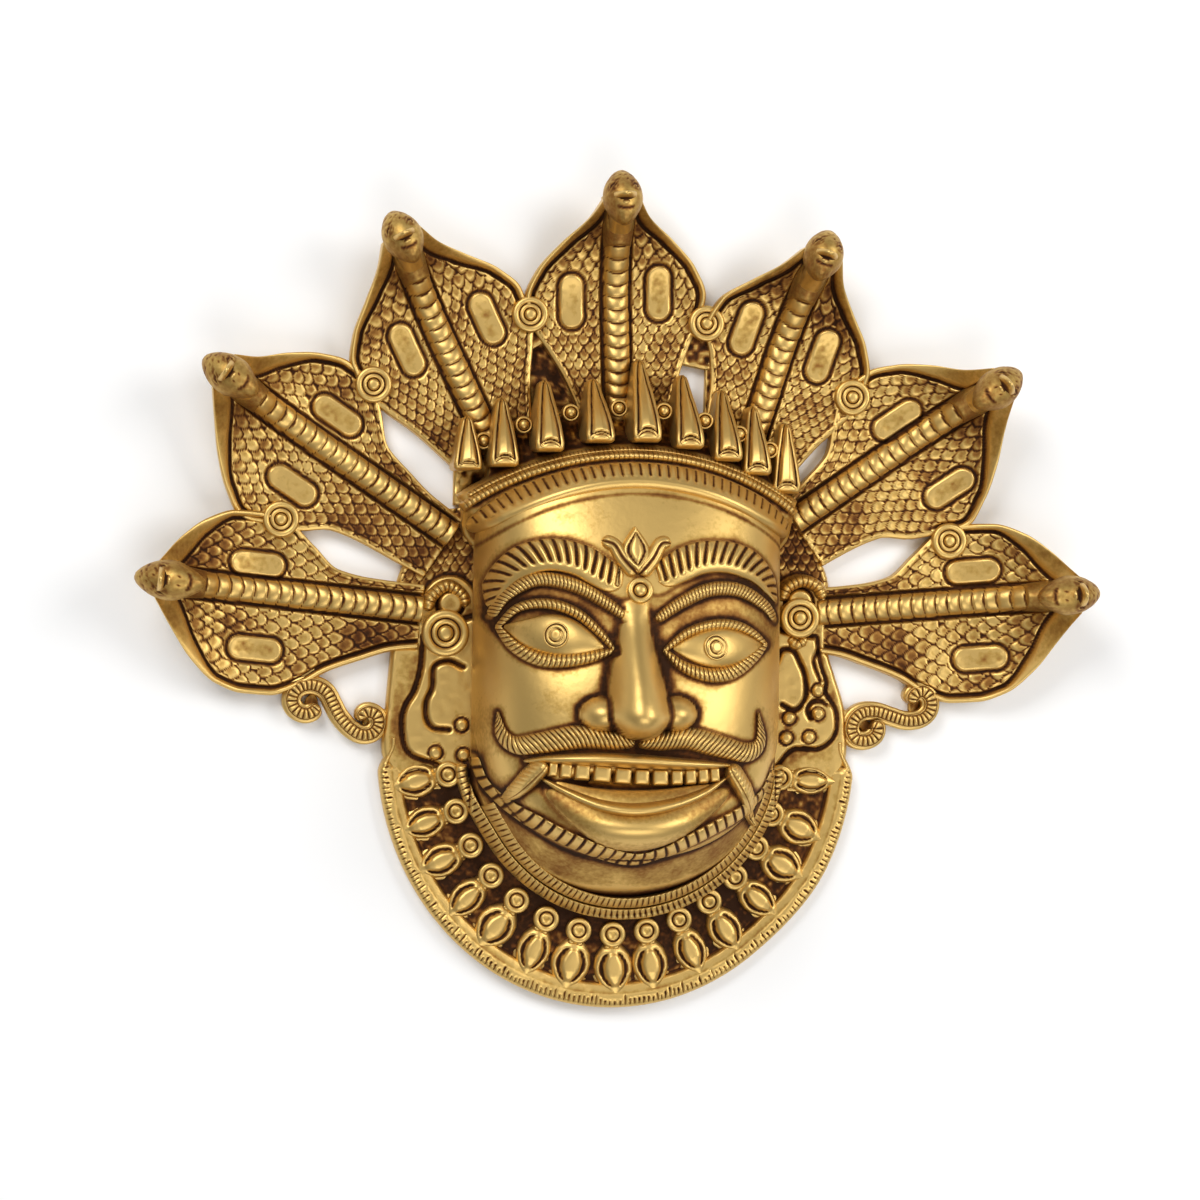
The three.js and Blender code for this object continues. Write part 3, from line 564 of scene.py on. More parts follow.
def hollows(mesh, rounds):
    """How far each vertex lies below the mean of its neighbourhood, in millimetres: of a near
    one, and of one that is as wide as the rounds make it."""
    count = len(mesh.vertices)
    start, normals = vertex_values(mesh, "co") / MM, vertex_values(mesh, "normal")
    pairs = np.empty(len(mesh.edges) * 2, dtype=np.int32)
    mesh.edges.foreach_get("vertices", pairs)
    a, b = pairs.reshape(-1, 2).T
    degree = np.maximum(np.bincount(pairs, minlength=count), 1)
    level = start.copy()
    found = []
    for i in range(rounds):
        for k in range(3):
            total = np.bincount(a, level[b, k], count) + np.bincount(b, level[a, k], count)
            level[:, k] = 0.5 * level[:, k] + 0.5 * total / degree
        if i in (NEAR_ROUNDS - 1, rounds - 1):
            found.append(((level - start) * normals).sum(axis=1))
    return found


def finish_piece(piece, tarnish_and_shade=0.0, rounds=24, wear_and_shade=1.0):
    """Shades a piece smooth, writes its tarnish and painted shade and hands it to the frame. The
    wear factor tells how far crests are rubbed bright and hollows left dark, partly as patina and
    partly as painted shade."""
    mesh = piece.data
    mesh.polygons.foreach_set("use_smooth", np.full(len(mesh.polygons), True))
    # hollows darker, partly patina and partly painted shade; crests lighter where the brass is
    # rubbed
    value = sum(share * np.clip(depth / full, -1, 1)
                for depth, (full, share) in zip(hollows(mesh, rounds), (NEAR_HOLLOW, WIDE_HOLLOW)))
    value = np.clip(wear_and_shade * value + tarnish_and_shade, -1, 1)
    layer = mesh.attributes.new("tarnish_and_shade", "FLOAT", "POINT")
    layer.data.foreach_set("value", value.astype(np.float32))
    mesh.materials.clear()
    mesh.materials.append(brass())
    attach(piece, "root")
    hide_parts("mask")


# The finish

def brass():
    """Polished cast brass with brown tarnish and painted shade left in every hollow."""
    found = bpy.data.materials.get("tarnished_brass_with_painted_shade")
    if found:
        return found
    look = bpy.context.scene.mask_finish
    material = bpy.data.materials.new("tarnished_brass_with_painted_shade")
    material.use_nodes = True
    tree = material.node_tree
    tree.nodes.clear()

    def node(kind, links=None, **values):
        """A node with values set on its sockets, and with links to them."""
        made = tree.nodes.new("ShaderNode" + kind)
        for name, value in values.items():
            made.inputs[name.replace("_", " ")].default_value = value
        for name, source in (links or {}).items():
            tree.links.new(source, made.inputs[name])
        return made

    where = node("TexCoord").outputs["Object"]
    relief = node("Attribute")
    relief.attribute_name = "tarnish_and_shade"

    def noise(scale, detail):
        return node("TexNoise", {"Vector": where}, Scale=scale, Detail=detail).outputs["Fac"]

    def centred(noise):
        """Half of a noise, about zero."""
        half = node("Math", {0: noise})
        half.operation = "MULTIPLY_ADD"
        half.inputs[1].default_value, half.inputs[2].default_value = 0.5, -0.25
        return half.outputs[0]

    def total(a, b):
        return node("Math", {0: a, 1: b}).outputs[0]

    def span(value, low, high, out_low, out_high):
        return node("MapRange", {"Value": value}, From_Min=low, From_Max=high,
                    To_Min=out_low, To_Max=out_high).outputs["Result"]

    cloud, speck = centred(noise(70, 4)), centred(noise(900, 3))
    # the attribute, tarnish with painted shade, plus noise for uneven tone, picks colour, roughness
    # and metal
    age_and_shade = total(total(relief.outputs["Fac"], cloud), speck)
    ramp = node("ValToRGB", {"Fac": age_and_shade})
    stops = ramp.color_ramp.elements
    stops[0].position, stops[0].color = 0.0, (*look.polished, 1)
    stops[1].position, stops[1].color = 1.0, (*look.pitch, 1)
    for at, colour in ((0.18, look.satin), (0.45, look.tarnished_and_shaded), (0.75, look.deep)):
        stops.new(at).color = (*colour, 1)
    bumps = node("Bump", {"Height": noise(520, 5)}, Strength=0.2, Distance=0.0003)
    shader = node("BsdfPrincipled", {
        "Base Color": ramp.outputs["Color"],
        "Roughness": span(age_and_shade, 0.0, 0.9, look.gloss, 0.7),
        "Metallic": span(age_and_shade, 0.35, 0.9, 1.0, 0.35),
        "Normal": bumps.outputs["Normal"],
    }, Specular_IOR_Level=0.15)
    node("OutputMaterial", {"Surface": shader.outputs["BSDF"]})
    return material


# Hoods

class Hood:
    """The frame of one hood: distances behind its head and across from its middle line."""

    def __init__(self, base, head, outlines, pads, broad, head_long, nod, shrink):
        self.pads, self.broad, self.shrink = pads, broad, shrink
        self.head_long, self.nod = head_long, nod
        self.base, self.head = np.array(base, float), np.array(head, float)
        self.length = math.hypot(*(self.base - self.head))
        self.inward = (self.base - self.head) / self.length
        self.side = np.array([-self.inward[1], self.inward[0]])
        self.widths = [HALF_WIDTHS[name] for name in outlines]
        self.rims = [RIM_ENDS[name] for name in outlines]

    def at(self, d, across):
        x = self.head[0] + self.inward[0] * d + self.side[0] * across
        y = self.head[1] + self.inward[1] * d + self.side[1] * across
        return x, y

    def half(self, d, across_share):
        return np.where(across_share < 0, *(rounded(d, STATIONS, widths) for widths in self.widths))


def rounded(x, knots, values):
    """A smooth curve through values at knots, without overshoot between them."""
    knots, values = np.array(knots, float), np.array(values, float)
    step = np.diff(knots)
    slope = np.diff(values) / step
    inner = np.where(slope[1:] * slope[:-1] > 0,
                     2 * slope[1:] * slope[:-1] / (slope[1:] + slope[:-1] + 1e-9), 0)
    m = np.concatenate([[slope[0]], inner, [slope[-1]]])
    x = np.clip(x, knots[0], knots[-1])
    i = np.clip(np.searchsorted(knots, x, side="right") - 1, 0, len(step) - 1)
    t = (x - knots[i]) / step[i]
    h = step[i]
    return ((1 + 2 * t) * (1 - t) ** 2 * values[i] + t * (1 - t) ** 2 * h * m[i]
            + t**2 * (3 - 2 * t) * values[i + 1] + t**2 * (t - 1) * h * m[i + 1])


def hood_top(d, u):
    lift = TIP_LIFT * np.maximum(0, (26 - d) / 28) ** 1.7
    return PLATE + lift + SIDE_CURL * u**4 * smooth((34 - d) / 30)


def scales(d, across, long, wide):
    """Overlapping scales with round free ends that point away from the head, each a little
    different: their height, and the painted shadow in the cut round each free end."""
    high = np.zeros(d.shape)
    dark = np.zeros(d.shape)
    done = np.zeros(d.shape, bool)
    row = np.floor(d / long)
    for back in (2, 1, 0, -1):
        k = row - back
        shift = 0.5 * wide * (k % 2)
        column = np.round((across - shift) / wide)
        chance = [mottle(k * 2.0, column * 2.0, 2.0, seed) for seed in (61, 62, 63)]
        centre = column * wide + shift + 0.28 * chance[0]
        start = k * long + 0.3 * chance[1]
        grown = 1 + 0.1 * chance[2]
        aside = (across - centre) / (0.52 * wide * grown)
        ahead = (d - start) / (1.1 * long)
        far = np.sqrt(aside**2 + np.maximum(ahead, 0) ** 2)
        inside = (far < 1) & (ahead > -0.4) & ~done
        lip = smooth((1 - far) / 0.36)
        high = np.where(inside, (0.3 + 0.7 * np.maximum(ahead, 0) ** 1.5) * lip, high)
        arc = smooth((ahead - 0.22) / 0.45)
        # each scale varies a little in tone, and is painted lighter towards its raised free end
        tone = 0.14 * chance[0] - 0.12 * smooth((ahead - 0.4) / 0.5)
        dark = np.where(inside, tone + (0.75 + 0.3 * chance[2]) * groove(1 - far, 0.1) * arc, dark)
        outer = ~inside & ~done & (ahead > 0.1) & (far < 1.5)
        edge = (0.8 + 0.35 * chance[0]) * groove(far - 1.04, 0.24) * arc
        dark = np.where(outer, np.maximum(dark, edge), dark)
        high = np.where(outer, high - 0.35 * groove(far - 1.1, 0.18) * arc, high)
        done |= inside
    return high, dark


def stadium(d, across, long, half):
    """Signed distance to a pad with round ends, negative inside it."""
    ahead = np.maximum(np.abs(d) - (long - half), 0)
    return np.hypot(ahead, across) - half


def raise_rim(form, hood, d, u, across, edge):
    """The rolled rim, broad where it leaves the head, with a groove inside it. Gives its width,
    and the share of it that is there so far from the head."""
    free = np.where(u < 0, hood.rims[0], hood.rims[1])
    reach = 1 - smooth((d - free) / 6)
    wider = 0.62 + hood.broad * smooth((17 - d) / 14) * (np.abs(across) > BELLY_HALF)
    rim = sizes().rim_width / MM * wider
    roll = np.sqrt(np.clip(1 - np.abs((edge - rim / 2) / (rim / 2)) ** 2.4, 0, 1))
    inner = groove(edge - rim - 0.4, 0.42) * reach
    # dark in the groove inside the rim, partly patina and partly painted shade, with painted shade
    # spreading beside it and a little on the rim near the head
    form.add(sizes().rim_height / MM * roll * (0.35 + 0.65 * reach) - 0.9 * inner,
             0.95 * inner + 0.3 * groove(edge - rim - 0.7, 1.3) * reach
             + 0.1 * roll * smooth((15 - d) / 6))
    return rim, reach


def raise_belly(form, d, across):
    """The belly with its scutes, below a neck that spreads into the hood behind the head. Gives
    the distance from its side."""
    form.add(6.5 * bump(across, np.maximum(d + 1, 0) - 0.5, 6.8, 6.5))
    aside = across / BELLY_HALF
    inside = np.clip(1 - aside**2, 0, 1)
    high = BELLY_HIGH + 5 * smooth((20 - d) / 18)
    bowed = d - 1.1 * inside + 0.2 + 0.2 * mottle(d, across, 6.0, 8)
    pitch = sizes().scute_pitch / MM
    phase = bowed / pitch - np.floor(bowed / pitch)
    cut = cuts(bowed, pitch, 0.24)
    scute = 0.4 * np.sin(np.pi * phase) ** 0.5 + 0.45 * phase - 0.3 * cut
    throat = np.where(np.abs(aside) < 1, smooth((d - 8.5) / 1.5), 0)
    # the cuts between the scutes are dark, and the low end of each scute gets painted shade under
    # the edge of the one nearer the head
    form.add(high * inside**0.42 + scute * throat * inside**0.2,
             (0.6 * cut + 0.3 * smooth((0.35 - phase) / 0.3)) * throat)
    beside = np.abs(across) - BELLY_HALF
    # the groove beside the belly is dark, partly patina and partly painted shade
    form.add(-0.7 * groove(beside - 0.35, 0.36), 0.85 * groove(beside - 0.3, 0.42))
    return beside


def raise_pads(form, d, across, pads):
    """Two pads with a groove round each. Gives the distance from the nearer one."""
    to_pad = np.minimum(*(stadium(d - ahead, across - aside, PAD_LONG, PAD_HALF)
                          for ahead, aside in pads))
    on_pad = smooth(-to_pad / 0.7)
    # the groove round each pad is dark, with painted shade spreading beside it, and the pads vary
    # in tone
    form.add(0.75 * on_pad - 0.6 * groove(to_pad - 0.25, 0.3) + 0.05 * on_pad * form.noise(1.2, 7),
             0.95 * groove(to_pad - 0.25, 0.32) + 0.2 * groove(to_pad - 1, 1.2)
             + on_pad * (0.1 + 0.12 * form.noise(2.6, 4) + 0.1 * form.noise(1.0, 6)))
    return to_pad


def hood_body(hood):
    span = hood.length + 2
    rows, columns = (4 * math.ceil(long / HOOD_GRID / 4) + 1 for long in (span, HOOD_WIDE))
    d = np.linspace(-2, hood.length, rows)[:, None] * np.ones(columns)
    spread = np.linspace(-1, 1, columns)
    u = np.sign(spread) * (1 - (1 - np.abs(spread)) ** 1.12) + np.zeros((rows, 1))
    half = hood.half(d, u)
    across = u * half
    slant = np.gradient(half, hood.length / (rows - 1), axis=0)
    edge = np.minimum((1 - np.abs(u)) * half / np.sqrt(1 + slant**2), d + 2)
    form = Relief(*hood.at(d, across), hood_top(d, u))
    rim, reach = raise_rim(form, hood, d, u, across, edge)
    beside = raise_belly(form, d, across)
    to_pad = raise_pads(form, d, across, hood.pads)
    # scales on all that is left
    clear = smooth((edge - rim * (0.3 + 0.7 * reach) - 0.8 * reach) / 0.5)
    clear = clear * smooth((beside - 0.8) / 0.4) * smooth((to_pad - 0.7) / 0.4)
    small = 1 - hood.shrink * smooth((d - 10) / 26)
    wobble = 0.5 * form.noise(6.0, 3)
    run = np.cumsum(1 / small, axis=0) * span / (rows - 1)
    scale, shade = scales(run + wobble, across / small + wobble,
                          sizes().scale_length / MM, sizes().scale_width / MM)
    # painted shade on the hollow side of the hood near the head, darker towards the foot of the
    # hood, and patches of uneven tone
    shade_and_stain = 0.2 + 0.2 * smooth((18 - d) / 10) + 0.3 * smooth((d - 36) / 16)
    shade_and_stain = shade_and_stain + 0.3 * np.clip(form.noise(7.0, 5) + 0.1, 0, 1)
    form.add(0.55 * scale * clear, (shade + shade_and_stain) * clear + 0.1 * form.noise(2.2, 9))

    def drop(points):
        return at_height(points, hood_top(d[::4, ::4], u[::4, ::4]) - PLATE)

    return form.body(drop)


def egg(rows=44, columns=68):
    """A head: an egg with a narrower snout, ringed eyes, nostrils, a mouth line and punch marks.
    +Y is inward, to the snout, and +Z is up."""
    a = np.linspace(0, 2 * math.pi, columns, endpoint=False)
    b = np.linspace(-math.pi / 2, math.pi / 2, rows)[1:-1, None]
    # the poles lie at the two ends of the egg, along Y
    ux, uz, uy = np.cos(b) * np.cos(a), np.cos(b) * np.sin(a), np.sin(b) + 0 * a
    narrow = 1 - 0.3 * smooth((uy - 0.05) / 0.95) - 0.16 * smooth((-uy - 0.2) / 0.8)
    x = HEAD["wide"] * ux * narrow
    y = HEAD["long"] * uy
    z = HEAD["thick"] * uz * (1 - 0.14 * smooth(uy))
    push, dark = np.zeros_like(x), np.zeros_like(x)
    for side in (-1, 1):
        r = np.hypot(x - side * 2.9, y + 0.4)
        push += 0.16 * groove(r - 0.85, 0.2) + 0.1 * groove(r, 0.35) - 0.2 * groove(r - 0.5, 0.18)
        dark += 0.35 * groove(r - 1.2, 0.2) + 0.7 * groove(r - 0.5, 0.22)
        r = np.hypot(x - side * 1.15, y - 3.5)
        push -= 0.15 * groove(r, 0.24)
        dark += 0.6 * groove(r, 0.24)
    mouth = y - 5.6 + 0.17 * x**2
    reach = smooth((2.5 - np.abs(x)) / 0.6)
    push -= 0.16 * groove(mouth, 0.26) * reach
    dark += 0.6 * groove(mouth, 0.28) * reach
    for px, py in PUNCH_MARKS:
        mark = groove(np.hypot((x - px) * 0.8, y - py) - 0.7, 0.17) * smooth((y - py) / 0.3)
        push -= 0.12 * mark
        dark += 0.4 * mark
    top = uz > -0.3
    push = push * top + 0.05 * mottle(3 * a + 0 * b, 8 * b + 0 * a, 1.0, 15)
    dark = dark * top + 0.1 * mottle(x, y, 1.6, 16)
    points = (np.stack([x, y, z], axis=-1) * (1 + push / 6)[..., None]).reshape(-1, 3)
    points = np.vstack([points, [0, -HEAD["long"], 0], [0, HEAD["long"], 0]])
    south = (rows - 2) * columns
    ring = np.arange(columns)
    after, last = np.roll(ring, -1), south - columns
    low = np.stack([after, ring, np.full(columns, south)], axis=1)
    high = np.stack([ring + last, after + last, np.full(columns, south + 1)], axis=1)
    tarnish_and_shade = np.append(dark.ravel(), [0.0, 0.0]) + 0.36
    return points, [tube_faces(rows - 2, columns)[0], low, high], tarnish_and_shade


def head_body(hood):
    points, faces, tarnish_and_shade = egg()
    turn = math.atan2(hood.inward[1], hood.inward[0]) - math.pi / 2
    spin = Matrix.Rotation(turn, 3, "Z") @ Matrix.Rotation(hood.nod, 3, "X")
    middle = hood.head + (hood.head_long * math.cos(hood.nod) - HEAD["reach"]) * hood.inward
    points = points * (1, hood.head_long / HEAD["long"], 1)
    return points @ np.array(spin).T + (*middle, HEAD["height"]), faces, tarnish_and_shade


def throat_body(hood):
    """The neck between the head and the belly."""
    d = np.linspace(-2, 10.4, 32)[:, None]
    v = np.linspace(0, math.pi, 25)
    share = (d + 2) / 12.4
    half = np.interp(share, [0, 0.6, 1], [4.4, 4.1, 3.5])
    top = np.interp(share, [0, 0.5, 1], [HEAD["height"] - 1, HEAD["height"] - 2.4, 16.4])
    low = hood_top(d, 0) - 2
    z = low + (top - low) * np.sin(v) ** 0.6
    points = np.stack([*hood.at(d, half * np.cos(v)), z], axis=-1).reshape(-1, 3)
    # painted shade on the throat under the snout
    dark = 0.38 + 0.25 * smooth((share - 0.55) / 0.3) + np.zeros_like(v)
    return points, tube_faces(*dark.shape), dark.ravel()


# Round pieces, modelled by hand once and copied

def deselect():
    if bpy.context.object and bpy.context.object.mode != "OBJECT":
        bpy.ops.object.mode_set(mode="OBJECT")
    bpy.ops.object.select_all(action="DESELECT")


def turned(name, profile, sides):
    """A round form at the origin: a disc that is extruded and drawn in or out for each ring."""
    deselect()
    radius, height = profile[0]
    bpy.ops.mesh.primitive_circle_add(vertices=sides, radius=radius * MM, fill_type="NGON",
                                      location=(0, 0, height * MM))
    bpy.ops.object.transform_apply(location=True)
    piece = bpy.context.object
    piece.name = name
    bpy.ops.object.mode_set(mode="EDIT")
    bpy.ops.mesh.select_mode(type="FACE")
    bpy.ops.mesh.select_all(action="SELECT")
    for next_radius, next_height in profile[1:]:
        move = {"value": (0, 0, (next_height - height) * MM)}
        bpy.ops.mesh.extrude_region_move(TRANSFORM_OT_translate=move)
        factor = next_radius / radius
        bpy.ops.transform.resize(value=(factor, factor, 1),
                                 center_override=(0, 0, next_height * MM))
        radius, height = next_radius, next_height
    bpy.ops.mesh.select_all(action="SELECT")
    bpy.ops.mesh.normals_make_consistent(inside=False)
    bpy.ops.object.mode_set(mode="OBJECT")
    return piece


def set_out(pattern, moves, name):
    """Copies of a form, one for each move, joined to one piece."""
    made = []
    for move in moves:
        copy = pattern.copy()
        copy.data = pattern.data.copy()
        bpy.context.collection.objects.link(copy)
        copy.data.transform(move)
        made.append(copy)
    bpy.data.objects.remove(pattern)
    deselect()
    for copy in made:
        copy.select_set(True)
    bpy.context.view_layer.objects.active = made[0]
    bpy.ops.object.join()
    whole = bpy.context.object
    whole.name = name
    return whole


def standing(spots, lean=None):
    """Moves to spots (x, y, z, scale) in drawing millimetres. A form stands upright there, or
    square to the surface whose height lean(x, y) gives."""
    for x, y, z, scale in spots:
        turn = Matrix.Identity(4)
        if lean:
            right, left, up, down = lean(np.array([x + 1.5, x - 1.5, x, x]),
                                         np.array([y, y, y + 1.5, y - 1.5]))
            normal = Vector((left - right, down - up, 3.0)).normalized()
            turn = Vector((0, 0, 1)).rotation_difference(normal).to_matrix().to_4x4()
        shift = Matrix.Translation(place((x, y, z)))
        yield shift @ turn @ Matrix.Diagonal((scale, scale, scale, 1))


# Turned forms: their profile of radius and height from the foot up and what it is multiplied by,
# sides, the radius that shares are taken of, dark rings as (how dark, share, width), the share
# from which the foot gets painted shade, with the width of that, and how dark the whole is
TURNED = {
    # a broad ring round a second ring and a nub
    "bosses": {
        "profile": [
            (0.93, -2.6), (1.0, -0.5), (1.0, 0.5), (0.96, 0.95), (0.88, 1.15), (0.76, 1.15),
            (0.68, 1.0), (0.63, 0.6), (0.59, 0.55), (0.55, 0.85), (0.48, 0.95), (0.4, 0.85),
            (0.36, 0.55), (0.33, 0.5), (0.31, 0.95), (0.27, 1.35), (0.18, 1.5), (0.05, 1.52),
        ],
        "times": (BOSS_R, 1.15), "sides": 40, "radius": BOSS_R,
        "rings": [(0.75, 0.61, 0.035), (0.6, 0.345, 0.03)], "edge": (0.97, 0.03), "plain": 0.12,
    },
    "irises": {
        "profile": [
            (3.25, -1.6), (3.3, 0.1), (3.15, 0.3), (2.95, 0.28), (2.85, 0.0), (2.7, 0.0),
            (2.55, 0.3), (2.2, 0.42), (1.85, 0.36), (1.7, 0.05), (1.55, 0.05), (1.45, 0.42),
            (1.2, 0.62), (0.8, 0.66), (0.3, 0.66),
        ],
        "times": (1, 1), "sides": 44, "radius": 3.25,
        "rings": [(0.6, 0.84, 0.05), (0.6, 0.5, 0.05)], "edge": (0.95, 0.05), "plain": 0.12,
    },
    "forehead_spot": {
        "profile": [
            (3.2, -2.4), (3.35, 0.2), (3.2, 0.9), (2.8, 1.2), (2.3, 1.15), (1.95, 0.85),
            (1.8, 0.5), (1.62, 0.5), (1.5, 1.0), (1.2, 1.45), (0.7, 1.65), (0.2, 1.7),
        ],
        "times": (1, 1), "sides": 40, "radius": 3.35,
        "rings": [(0.6, 0.84, 0.05), (0.6, 0.5, 0.05)], "edge": (0.95, 0.05), "plain": 0.12,
    },
    "beads": {
        "profile": [
            (2.2, -3.5), (2.25, 0.2), (2.12, 0.7), (1.9, 0.85), (1.68, 0.7), (1.52, 0.25),
            (1.4, 0.2), (1.3, 0.7), (1.15, 1.25), (0.8, 1.65), (0.3, 1.8),
        ],
        "times": (1, 1), "sides": 28, "radius": 2.25,
        "rings": [(0.9, 0.65, 0.07)], "edge": (2, 1), "plain": 0,
    },
    # a ring round a dished nub
    "pendant_bosses": {
        "profile": [
            (0.93, -2.6), (1.0, -0.5), (1.0, 0.4), (0.94, 0.85), (0.82, 1.0), (0.66, 0.95),
            (0.58, 0.55), (0.51, 0.45), (0.47, 0.8), (0.41, 1.1), (0.3, 1.15), (0.22, 0.95),
            (0.1, 0.9),
        ],
        "times": (3.35, 1), "sides": 36, "radius": 3.35,
        "rings": [(0.8, 0.53, 0.05)], "edge": (0.97, 0.03), "plain": 0.05,
    },
}


def round_pieces(name, spots, rounds=24, lean=None):
    """A turned form at every spot, darker in its ring grooves and with painted shade round its
    foot.
    """
    form = TURNED[name]
    profile = [np.multiply(ring, form["times"]) for ring in form["profile"]]
    piece = set_out(turned(name, profile, form["sides"]), standing(spots, lean), name)
    points = vertex_values(piece.data, "co") / MM + (MIDDLE_X, MIDDLE_Y, 0)
    share = np.min([np.hypot(points[:, 0] - x, points[:, 1] - y) / (form["radius"] * scale)
                    for x, y, _, scale in spots], axis=0)
    edge, width = form["edge"]
    # painted shade round the foot of each form, and darker rings in its grooves
    dark = form["plain"] + 0.5 * smooth((share - edge) / width)
    for deep, at, broad in form["rings"]:
        dark = dark + deep * groove(share - at, broad)
    finish_piece(piece, dark, rounds)


# Face

def half_share(aside):
    """The left half of the face is a little narrower than the right one."""
    return np.where(aside < 0, FACE_LEFT, 1.0)


def arc_below(curve, x):
    t = np.minimum(np.abs(x - FACE_X) / (curve["half"] * half_share(x - FACE_X)), 1)
    return curve["y"] - curve["deep"] * np.sqrt(np.maximum(1 - t**2.2, 0))


def from_band(x, y):
    """Distance from the middle of the headband's arc."""
    return np.hypot(x - BAND["x"], y - BAND["y"])


def band_edge_y(x):
    return BAND["y"] + np.sqrt(np.maximum((BAND["r"] - 1) ** 2 - (x - BAND["x"]) ** 2, 0))


def face_height(x, y):
    """Height of the bare face: a vault that turns over the jaw into the neck."""
    t = np.minimum(np.abs(x - FACE_X) / (FACE_HALF * half_share(x - FACE_X)), 1)
    across = (1 - t**FACE_ROUND) ** (1 / FACE_ROUND)
    jaw_y = arc_below(JAW, x)
    jaw_z = FACE_EDGE + (JAW["z"] - FACE_EDGE) * across
    down = (jaw_y - y) / np.maximum(jaw_y - arc_below(COLLAR, x), 0.01)
    neck = jaw_z + (np.minimum(COLLAR["z"], jaw_z) - jaw_z) * down
    front = FACE_FRONT - 0.0032 * np.maximum(y + 38, 0) ** 2
    plain = FACE_EDGE + (front - FACE_EDGE) * across
    turn = 1 - np.clip((y - jaw_y) / JAW["round"], 0, 1)
    eased = jaw_z + (plain - jaw_z) * np.sqrt(np.maximum(1 - turn**2, 0))
    forms = sum(high * bump(x - fx, y - fy, wide, tall) for fx, fy, wide, tall, high in FACE_FORMS)
    return np.where(y < jaw_y, neck, eased + forms * np.minimum(1, (1 - t) * 6))


def nose_form(x, y):
    """Height of the nose over the face and the painted shade beside its flanks and round its wings:
    a ridge, its round tip and two wings.
    """
    down = -y
    half = rounded(down, NOSE["down"], NOSE["half"])
    t = np.abs(x - rounded(down, NOSE["down"], NOSE["middle"])) / half
    under = np.clip((down - NOSE_END) / NOSE_TIP, 0, 1)
    soft = 0.6 + 0.5 * (1 - smooth((down - 20) / 11))
    high = rounded(down, NOSE["down"], NOSE["high"]) * np.clip(1 - t**2 - under**2, 0, 1) ** soft
    flank = smooth((down - 8) / 8) * (1 - smooth((down - 26) / 6))
    # painted shade on the face beside the flanks of the nose, and round each wing
    dark = 0.22 * groove((t - 1) * half - 0.2, 1.2) * flank
    for wx, wy in NOSE_WINGS:
        r = np.hypot((x - wx) / NOSE_WING["long"], (y - wy) / NOSE_WING["wide"])
        wing = NOSE_WING["high"] * np.clip(1 - r**2, 0, 1) ** 0.6
        dark = dark + 0.6 * groove(r - 1.04, 0.09) * smooth((1.2 - high) / 1.2)
        high = (high**3 + wing**3) ** (1 / 3)
    return high, dark


def face_at(x, y):
    return float(face_height(np.array(x), np.array(y)))


def face_body():
    rows, columns = 241, 201
    u = np.linspace(-1, 1, columns)
    t = np.sign(u) * np.abs(np.sin(math.pi * u / 2)) ** 0.8
    x = FACE_X + FACE_HALF * half_share(t) * t
    low, jaw, high = arc_below(COLLAR, x), arc_below(JAW, x), band_edge_y(x)
    share = np.linspace(0, 1, rows)[:, None]
    y = np.where(share < NECK, low + (jaw - low) * share / NECK,
                 jaw + (high - jaw) * (share - NECK) / (1 - NECK))
    x = x + np.zeros_like(y)
    form = Relief(x, y, face_height(x, y))
    form.add(*nose_form(x, y))
    # the neck dips under the two ropes at its edge, with painted shade under the ropes and under
    # the jaw
    form.add(-np.minimum(3.4, 0.45 * form.z) * smooth((0.062 - share) / 0.03),
             0.5 * smooth((0.07 - share) / 0.03) + 0.14 * smooth((NECK - share) / 0.03)
             + 0.22 * smooth((NECK + 0.06 - share) / 0.05) * (np.abs(u) < 0.8))
    # painted shade on the face beside each raised ribbon
    for _, lines, half, _, edge, _, _ in features():
        for points in lines if edge else ():
            line = Line(points, 0.4)
            away, along = line.nearest(x, y, 8)
            gap = away - half(along / line.long) - 0.25
            form.add(0, edge * groove(gap, 0.5) + 0.25 * groove(gap - 0.4, 1.3))
    # painted shade above each eye, under the brow
    for ex, ey in EYES:
        form.add(0, 0.55 * bump(x - ex, y - ey - 5.5, 15, 5.5))
    # painted shade in the mouth, under the moustache and just under the headband roll, with uneven
    # tone over the face
    under_band = from_band(x, y) - BAND["r"] + 5.3
    mouth = smooth(bump(x - FACE_X, y + 48.2, 22, 3.2) * 2.2 - 0.85)
    form.add(-2.5 * mouth, 1.1 * mouth + 0.45 * bump(x - 1, y + 40.6, 24, 2.0)
             + 0.7 * groove(under_band, 0.55)
             + 0.16 * form.noise(9.0, 11) + 0.1 * form.noise(3.0, 12))

    def drop(points):
        shrink = 1 - WALL / FACE_HALF
        bx, by = points[..., 0], points[..., 1]
        back = grounded(np.maximum(face_height(bx, by) - WALL, 0.0))
        return np.stack([FACE_X + (bx - FACE_X) * shrink, -20 + (by + 20) * shrink, back], axis=-1)

    return form.body(drop)


def ribbed(pitch, depth, slant=0.0, width=0.3, only=None):
    """Cuts across a ribbon, set slanting, all over it or on the side that only gives, where they
    run out a little past the middle."""
    def detail(s, v, share):
        cut = cuts(s + slant * v, pitch, width)
        if only is not None:
            cut = cut * smooth((only * -v + 0.55) / 0.35)
        body = np.clip(1 - v**2, 0, 1) ** 0.25
        return -depth * cut * body, 0.8 * cut
    return detail


